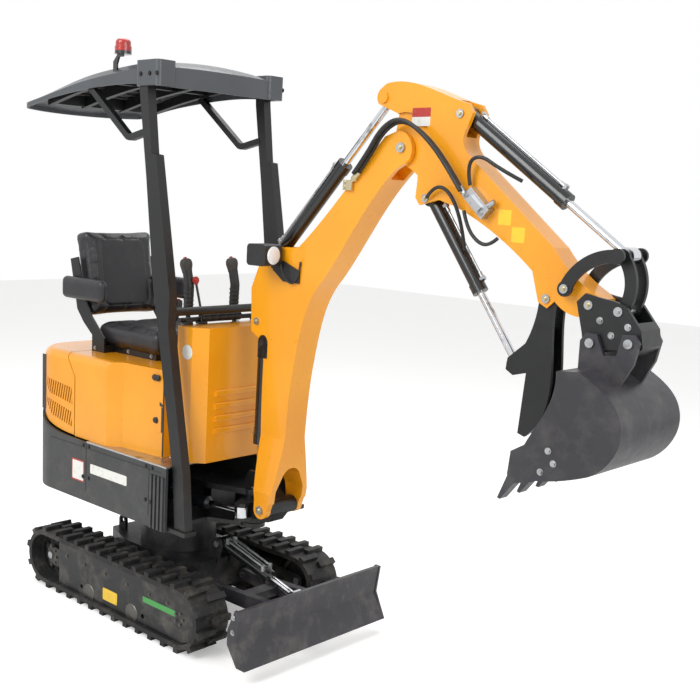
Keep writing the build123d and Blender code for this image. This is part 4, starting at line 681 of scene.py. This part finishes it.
def detail_floor():
    """Raised lozenges of the tread plate on the floor, each leaning the other way to its neighbour."""
    bm = bmesh.new()
    for i in range(17):
        for j in range(23):
            x, y = -120 + i * 24, -264 + j * 24
            a = math.radians(45 if (i + j) % 2 else -45)
            c, s = math.cos(a), math.sin(a)
            ring = []
            for u, v in ((-11, 0), (-4, 2.6), (4, 2.6), (11, 0), (4, -2.6), (-4, -2.6)):
                ring.append((x + u * c - v * s, y + u * s + v * c))
            if x > 180 and abs(y) > 250:
                continue
            base = [bm.verts.new((px, py, floor_top - 0.3)) for px, py in ring]
            tip = [bm.verts.new((x + (px - x) * 0.6, y + (py - y) * 0.6, floor_top + 1.6)) for px, py in ring]
            bm.faces.new(tip)
            for k in range(6):
                bm.faces.new((base[k], base[(k + 1) % 6], tip[(k + 1) % 6], tip[k]))
    finish_piece("floor_lozenges", bm, "house", tread_plate, 0.0, 20.0)


# Operator's place


def detail_levers():
    bm = bmesh.new()
    for side in (-1, 1):
        y = side * lever_y
        ribs = []
        for k in range(7):
            ribs += [(34 - k * 2.2, k * 9.0), (27 - k * 2.0, k * 9.0 + 4.5)]
        add_revolved(bm, [(0, 0)] + ribs + [(11, 62), (0, 62)], (200, y, 1206), (-0.25, 0, 1), 40)
    finish_piece("lever_boots", bm, "house", hose_rubber)
    bm = bmesh.new()
    for side in (-1, 1):
        y = side * lever_y
        add_revolved(
            bm,
            [(0, 30), (12, 29), (21, 24), (25.5, 14), (26, 2), (23, -12), (20.6, -24), (20.2, -30), (0, -30)],
            (146, y, 1502),
            (-0.22, 0, 1),
            36,
        )
        for z in (1345, 1363, 1381, 1399):
            add_revolved(bm, [(20, -3.5), (21.6, -2), (21.6, 2), (20, 3.5)], (166.5, y, z), (0.05, 0, 1), 32)
    finish_piece("grip_heads", bm, "house", grip_rubber)
    bm = bmesh.new()
    for side in (1, -1):
        button = (137, side * lever_y, 1531)
        add_revolved(bm, [(0, 6), (6, 5), (8, 0), (8, -6), (0, -6)], button, (-0.22, 0, 1), 24)
    knob = [(0, 16), (9, 14), (14.2, 6), (14.6, -3), (10, -12), (6, -18), (0, -18)]
    add_revolved(bm, knob, (196, -118, 1446), (-0.2, 0, 1), 32)
    finish_piece("red_knobs", bm, "house", red_moulding)
    bm = bmesh.new()
    for y in range(-88, 89, 44):
        add_revolved(bm, [(0, -22), (16, -22), (18, -18), (18, 18), (16, 22), (0, 22)], (224, y, 1294), (0, 1, 0), 32)
    finish_piece("rail_sleeve", bm, "house", black_moulding)


def detail_seat_frame():
    bm = bmesh.new()
    for side in (-1, 1):
        for x in (-360, -200, -40):
            place = cast("seat_base", (x, side * 700, 1100), (0, -side, 0))
            if place is not None:
                add_bolts(bm, [place], (0, side, 0), 7, 5)
    finish_piece("seat_frame_bolts", bm, "house", zinc_steel)
    # Belt tongue and red button at the far side of the cushion
    bm = bmesh.new()
    add_rod(bm, (-340, 232, 1150), (-322, 226, 1232), 9, 20)
    add_block(bm, (-350, 214, 1228), (-300, 240, 1300))
    finish_piece("belt_buckle", bm, "house", black_moulding, 5.0)
    bm = bmesh.new()
    add_block(bm, (-340, 219, 1298), (-312, 235, 1305))
    finish_piece("belt_button", bm, "house", red_moulding, 1.5)


def detail_canopy():
    # Ribbed lining under the shell: bowed bars between the frame's rails
    bm = bmesh.new()
    for x in range(-560, 100, 55):
        roof = [cast("canopy_roof", (x, y, 1900), (0, 0, 1)) for y in (-240, -120, 0, 120, 240)]
        line = [p - Vector((0, 0, 4)) for p in roof if p is not None]
        for a, b in zip(line, line[1:]):
            add_rod(bm, a, b, 5, 10)
    finish_piece("canopy_ribs", bm, "house", grip_rubber)
    # Bolt caps where the posts meet the roof
    bm = bmesh.new()
    for side in (-1, 1):
        for x in (95, 150, 190):
            place = cast("canopy_roof", (x, side * 700, 2240), (0, -side, 0))
            if place is not None:
                add_bolts(bm, [place], (0, side, 0), 7, 5)
    finish_piece("canopy_bolts", bm, "house", black_powder)
    bm = bmesh.new()
    tab = cast("canopy_stays canopy_frame canopy_roof", (7, -800, 2120), (0, 1, 0))
    if tab is not None:
        add_block(bm, (tab.x - 12, tab.y - 4, 2095), (tab.x + 12, tab.y + 1, 2150))
        finish_piece("orange_tab", bm, "house", orange_tab, 1.5)
    else:
        bm.free()


# Boom, arm and bucket


def detail_boom():
    # Window through the boom: a flat black sheet on each side is painted shade, standing in for the dark inside of
    # the opening
    bm = bmesh.new()
    arch = [(512, 1168), (566, 1168)] + [
        (539 + 27 * math.cos(math.radians(a)), 1226 + 34 * math.sin(math.radians(a))) for a in range(0, 181, 15)
    ]
    for side in (-1, 1):
        add_plate(bm, arch, side * 57, side * 57.7)
    finish_piece("boom_window_painted_shade", bm, "boom", film_black)
    bm = bmesh.new()
    low = cast("boom", (945, -300, 1850), (0, 1, 0))
    add_block(bm, (925, low.y - 16, 1832), (965, low.y + 1, 1868))
    for z in (1841, 1859):
        add_bolts(bm, [(934, low.y - 16, z)], (0, -1, 0), 5, 4)
    add_ferrule(bm, (975, low.y - 10, 1878), (-0.7, 0, -0.7), 9)
    finish_piece("boom_port", bm, "boom", fitting_zinc, 1.0)
    # Rigid pipes with clamps along the boom's far side
    bm = bmesh.new()
    for offset in (0, 22):
        route = ((640, 1300), (690, 1470), (775, 1640), (890, 1760), (1010, 1850))
        line = [Vector((x, 63, z + offset)) for x, z in route]
        line = [p for p in line if cast("boom", (p.x, 400, p.z), (0, -1, 0)) is not None]
        for a, b in zip(line, line[1:]):
            add_rod(bm, a, b, 5.5, 16)
        for p in line:
            add_block(bm, p - Vector((12, 6, 9)), p + Vector((12, 6, 9)))
    finish_piece("boom_pipes", bm, "boom", zinc_steel, 1.0)
    bm = bmesh.new()
    for pin in ((548, 1570), (500, 1310), (610, 567), (1166, 1981)):
        for side in (-1, 1):
            end = cast("boom_pins", (pin[0], side * 400, pin[1]), (0, -side, 0))
            if end is not None:
                add_bolts(bm, [end], (0, side, 0), 6, 6)
                add_revolved(bm, [(0, 0.5), (3, 5), (0, 8)], (pin[0], end.y, pin[1]), (0, side, 0), 12)
    finish_piece("pin_bolts_boom", bm, "boom", fitting_zinc)
    # Lamp lens: its pale white finish is a painted reflection of the mirror bowl behind the clear glass
    bm = bmesh.new()
    add_revolved(
        bm, [(0, 6), (30, 3), (34, 0), (34, -3), (0, -3)], (640.5, -120, 1578), (1, 0, 0), 40
    )
    finish_piece("lamp_lens", bm, "boom", painted_reflection_lamp_glass)
    cable = [(648, -88, 1545), (652, -82, 1505), (690, -70, 1468), (724, -66, 1500), (726, -62, 1560)]
    add_hose("lamp_cable", cable, 7, "boom")
    for lane, lift in ((-66, 0), (-84, 6)):
        add_hose(
            f"arm_hose_{'inner' if lane == -66 else 'outer'}",
            [
                (981, lane, 1884 + lift),
                (1040, lane - 4, 1950 + lift),
                (1100, lane - 6, 2040 + lift),
                (1180, lane - 8, 2075 + lift),
                (1280, lane - 6, 2020 + lift),
                (1370, lane - 2, 1930 + lift),
                (1440, lane, 1838 + lift),
            ],
            15,
            "boom",
            "arm",
        )


def detail_arm():
    bm = bmesh.new()
    face = cast("arm", (1500, -300, 1803), (0, 1, 0)).y
    outline = [(1448, 1826), (1524, 1756), (1552, 1788), (1476, 1858)]
    add_plate(bm, outline, face + 1, face - 34)
    add_plate(bm, [(1470, 1818), (1514, 1778), (1528, 1794), (1484, 1834)], face - 30, face - 44)
    for x, z in ((1466, 1830), (1526, 1776)):
        add_bolts(bm, [(x, face - 34, z)], (0, -1, 0), 6, 5)
    add_ferrule(bm, (1447, face - 22, 1836), (0.7, 0, -0.7), 9)
    add_ferrule(bm, (1540, face - 20, 1800), (-0.7, 0, -0.4), 8)
    finish_piece("arm_valve_block", bm, "arm", zinc_steel, 1.2)
    side = cast("arm", (1234, -300, 2080), (0, 1, 0))
    if side is not None:
        bm = bmesh.new()
        add_label(bm, (1196, 2052), (1272, 2082), side.y, -1, 0.5, 3)
        finish_piece("arm_plate_white", bm, "arm", film_white)
        bm = bmesh.new()
        add_label(bm, (1196, 2082), (1272, 2112), side.y, -1, 0.5, 3)
        finish_piece("arm_plate_red", bm, "arm", film_red)
    bm = bmesh.new()
    for low, high in (((1568, 1742), (1616, 1790)), ((1622, 1690), (1670, 1738))):
        add_label(bm, low, high, face, -1, 0.5, 4)
    finish_piece("arm_plates_yellow", bm, "arm", film_yellow)
    bm = bmesh.new()
    for x, z in ((1392, 2090), (1275, 1815), (1842, 1564), (1918, 1522), (1765, 1525)):
        for way in (-1, 1):
            end = cast("arm_pins", (x, way * 300, z), (0, -way, 0))
            if end is not None:
                add_bolts(bm, [end], (0, way, 0), 6, 6)
    finish_piece("pin_bolts_arm", bm, "arm", fitting_zinc)
    for k, route in enumerate(
        (
            [(1290, -60, 1818), (1330, -72, 1862), (1395, -74, 1840), (1440, -60, 1740), (1434, -24, 1652)],
            [(1448, -66, 1780), (1470, -74, 1728), (1520, -76, 1680), (1560, -70, 1676), (1584, -64, 1700)],
            [(1462, -62, 1862), (1450, -74, 1930), (1500, -76, 1960), (1575, -70, 1915), (1640, -38, 1880)],
        )
    ):
        add_hose(f"arm_small_hose_{k + 1}", route, 12, "arm")


def detail_cylinders():
    """Gland nuts, ports and a rigid feed pipe on each tube."""
    for name, base, eye, length, tube in (
        ("boom", (500, 1310), (495, 663), 505, 30),
        ("arm", (548, 1570), (1070, 2150), 480, 27),
        ("bucket", (1392, 2090), (2000, 1672), 475, 25),
        ("thumb", (1275, 1815), (1655, 1300), 370, 24),
    ):
        start = Vector((base[0], 0, base[1]))
        way = (Vector((eye[0], 0, eye[1])) - start).normalized()
        across = Vector((0, 1, 0)).cross(way)
        if across.z < 0:
            across = -across
        bm = bmesh.new()
        for k, at in enumerate((48, length - 36)):
            foot = start + way * at + across * (tube - 2)
            add_rod(bm, foot, foot + across * 16, 10, 6)
            add_rod(bm, foot + across * 8, foot + across * 8 + way * (24 if k == 0 else -24), 7, 16)
        add_rod(
            bm,
            start + way * 72 + across * (tube + 6),
            start + way * (length - 60) + across * (tube + 6),
            4.5,
            16,
        )
        finish_piece(f"{name}_cylinder_pipe", bm, f"{name}_cylinder_barrel", zinc_steel)
        bm = bmesh.new()
        add_revolved(
            bm,
            [(tube + 0.2, -30), (tube + 2.5, -28), (tube + 2.5, -4), (tube + 0.2, -2)],
            start + way * length,
            way,
            40,
        )
        finish_piece(f"{name}_cylinder_gland", bm, f"{name}_cylinder_barrel", cylinder_paint)


def detail_bucket():
    bm = bmesh.new()
    for way in (-1, 1):
        add_bolts_on(
            bm,
            "bucket",
            [(x, way * 400, z) for x, z in ((1904, 1087), (1925, 1052), (1884, 1018))],
            (0, -way, 0),
            8,
            6,
        )
    for way in (-1, 1):
        places = [(x, way * 400, z) for x, z in ((1960, 1480), (2050, 1470), (2000, 1440))]
        add_bolts_on(bm, "quick_coupler", places, (0, -way, 0), 8, 6)
    for way in (-1, 1):
        end = cast("coupler_pins", (2015, way * 400, 1512), (0, -way, 0))
        add_bolts(bm, [end], (0, way, 0), 6, 6)
    finish_piece("bucket_bolts", bm, "bucket", zinc_steel)


# Soft goods


def cushion_form(name, corners, origin, turn_deg, inset, cell):
    """A closed, rounded pad a little smaller than its cover, set in its place."""
    (x0, y0, z0), (x1, y1, z1) = corners
    bm = bmesh.new()
    add_block(bm, (x0 + inset, y0 + inset, z0 + inset * 0.4), (x1 - inset, y1 - inset, z1 - inset * 0.7))
    bmesh.ops.bevel(
        bm, geom=bm.edges[:], offset=24, segments=4, profile=0.5, affect="EDGES", material=-1
    )
    turned = Matrix.Rotation(math.radians(turn_deg), 4, "Y")
    bmesh.ops.transform(bm, matrix=Matrix.Translation(Vector(origin)) @ turned, verts=bm.verts)
    bmesh.ops.scale(bm, vec=(MM, MM, MM), verts=bm.verts)
    mesh = bpy.data.meshes.new(name)
    bm.to_mesh(mesh)
    bm.free()
    pad = bpy.data.objects.new(name, mesh)
    bpy.context.collection.objects.link(pad)
    grid = pad.modifiers.new("even_cells", "REMESH")
    grid.mode = "VOXEL"
    grid.voxel_size = cell * MM
    grid.use_smooth_shade = True
    bake_modifiers(pad)
    return pad


def bake_modifiers(pad):
    """Makes what the modifiers show the object's own mesh."""
    depsgraph = bpy.context.evaluated_depsgraph_get()
    mesh = bpy.data.meshes.new_from_object(pad.evaluated_get(depsgraph))
    pad.modifiers.clear()
    pad.data = mesh


def inflate(pad, cap_mm):
    """Blows the cover up as foam does under its sewn skin, with no point moving further than the cap."""
    before = [v.co.copy() for v in pad.data.vertices]
    cloth = pad.modifiers.new("cover", "CLOTH")
    cloth.settings.use_pressure = True
    cloth.settings.uniform_pressure_force = 4.0
    cloth.settings.effector_weights.gravity = 0.0
    cloth.settings.quality = 4
    scene = bpy.context.scene
    for step in range(1, 21):
        scene.frame_set(step)
    bake_modifiers(pad)
    scene.frame_set(1)
    for v, start in zip(pad.data.vertices, before):
        moved = v.co - start
        if moved.length > cap_mm * MM:
            v.co = start + moved.normalized() * cap_mm * MM


def sew(pad, lines, depth, width):
    """Presses narrow valleys into the cover where seams and channels run; each line gives its distance."""
    mesh = pad.data
    normals = [v.normal.copy() for v in mesh.vertices]
    for v, normal in zip(mesh.vertices, normals):
        near = min(abs(line(v.co / MM)) for line in lines)
        if near < width * 2.5:
            v.co -= normal * depth * MM * math.exp(-((near / width) ** 2))


def rounded_box_line(centre, half, corner, axes, within):
    """Distance to a rounded rectangle drawn on the part of the pad that is within a test."""

    def distance(p):
        if not within(p):
            return 1e3
        u, v = abs(p[axes[0]] - centre[0]) - half[0] + corner, abs(p[axes[1]] - centre[1]) - half[1] + corner
        return math.hypot(max(u, 0), max(v, 0)) + min(max(u, v), 0) - corner

    return distance


def finish_pad(pad, body, stands_for):
    fine = pad.modifiers.new("smooth_skin", "SUBSURF")
    fine.levels = fine.render_levels = 1
    bake_modifiers(pad)
    pad.data.materials.clear()
    pad.data.materials.append(seat_vinyl)
    pad.data.shade_smooth()
    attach(pad, body)
    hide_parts(*stands_for)


def make_seat():
    cell = 7.0
    cushion = cushion_form(
        "seat_cushion_cover",
        ((seat_rear, -seat_half, seat_low), (seat_front, seat_half, seat_high)),
        (0, 0, 0),
        0,
        9,
        cell,
    )
    back = cushion_form(
        "seat_back_cover",
        ((-back_thick, -seat_half, 0), (0, seat_half, back_high)),
        (back_foot_x, 0, back_foot_z),
        -back_lean,
        9,
        cell,
    )
    rests = []
    for side, label in ((-1, "right"), (1, "left")):
        near, far = sorted((side * 213.6, side * 263.6))
        rests.append(
            cushion_form(
                f"armrest_{label}", ((-568, near, rest_low), (-255, far, rest_high)), (0, 0, 0), 0, 3, 5.0
            )
        )
    inflate(cushion, 14)
    inflate(back, 14)

    def on_top(p):
        return p[2] > seat_low + 40

    middle = ((seat_rear + seat_front) / 2, 0)
    sew(
        cushion,
        [
            rounded_box_line(middle, (158, 132), 40, (0, 1), on_top),
            rounded_box_line(middle, (98, 132), 30, (0, 1), on_top),
        ],
        4.0,
        4.5,
    )
    lean = math.radians(back_lean)

    def on_back(p):
        """Height, side place and depth in the leaning back's own plane."""
        forward, up = p[0] - back_foot_x, p[2] - back_foot_z
        return up * math.cos(lean) - forward * math.sin(lean), p[1], forward * math.cos(lean) + up * math.sin(lean)

    def back_line(p):
        along, across, depth = on_back(p)
        if depth < -back_thick / 2:
            return 1e3
        u, v = abs(along - back_high / 2) - 150 + 40, abs(across) - 130 + 40
        return math.hypot(max(u, 0), max(v, 0)) + min(max(u, v), 0) - 40

    sew(back, [back_line], 4.0, 4.5)
    finish_pad(cushion, "house", ["seat_cushion"])
    finish_pad(back, "house", ["seat_back"])
    finish_pad(rests[0], "house", ["armrests"])
    finish_pad(rests[1], "house", [])


detail_tracks()
detail_blade()
detail_body()
detail_hood()
detail_floor()
detail_levers()
detail_seat_frame()
detail_canopy()
detail_boom()
detail_arm()
detail_cylinders()
detail_bucket()
make_seat()
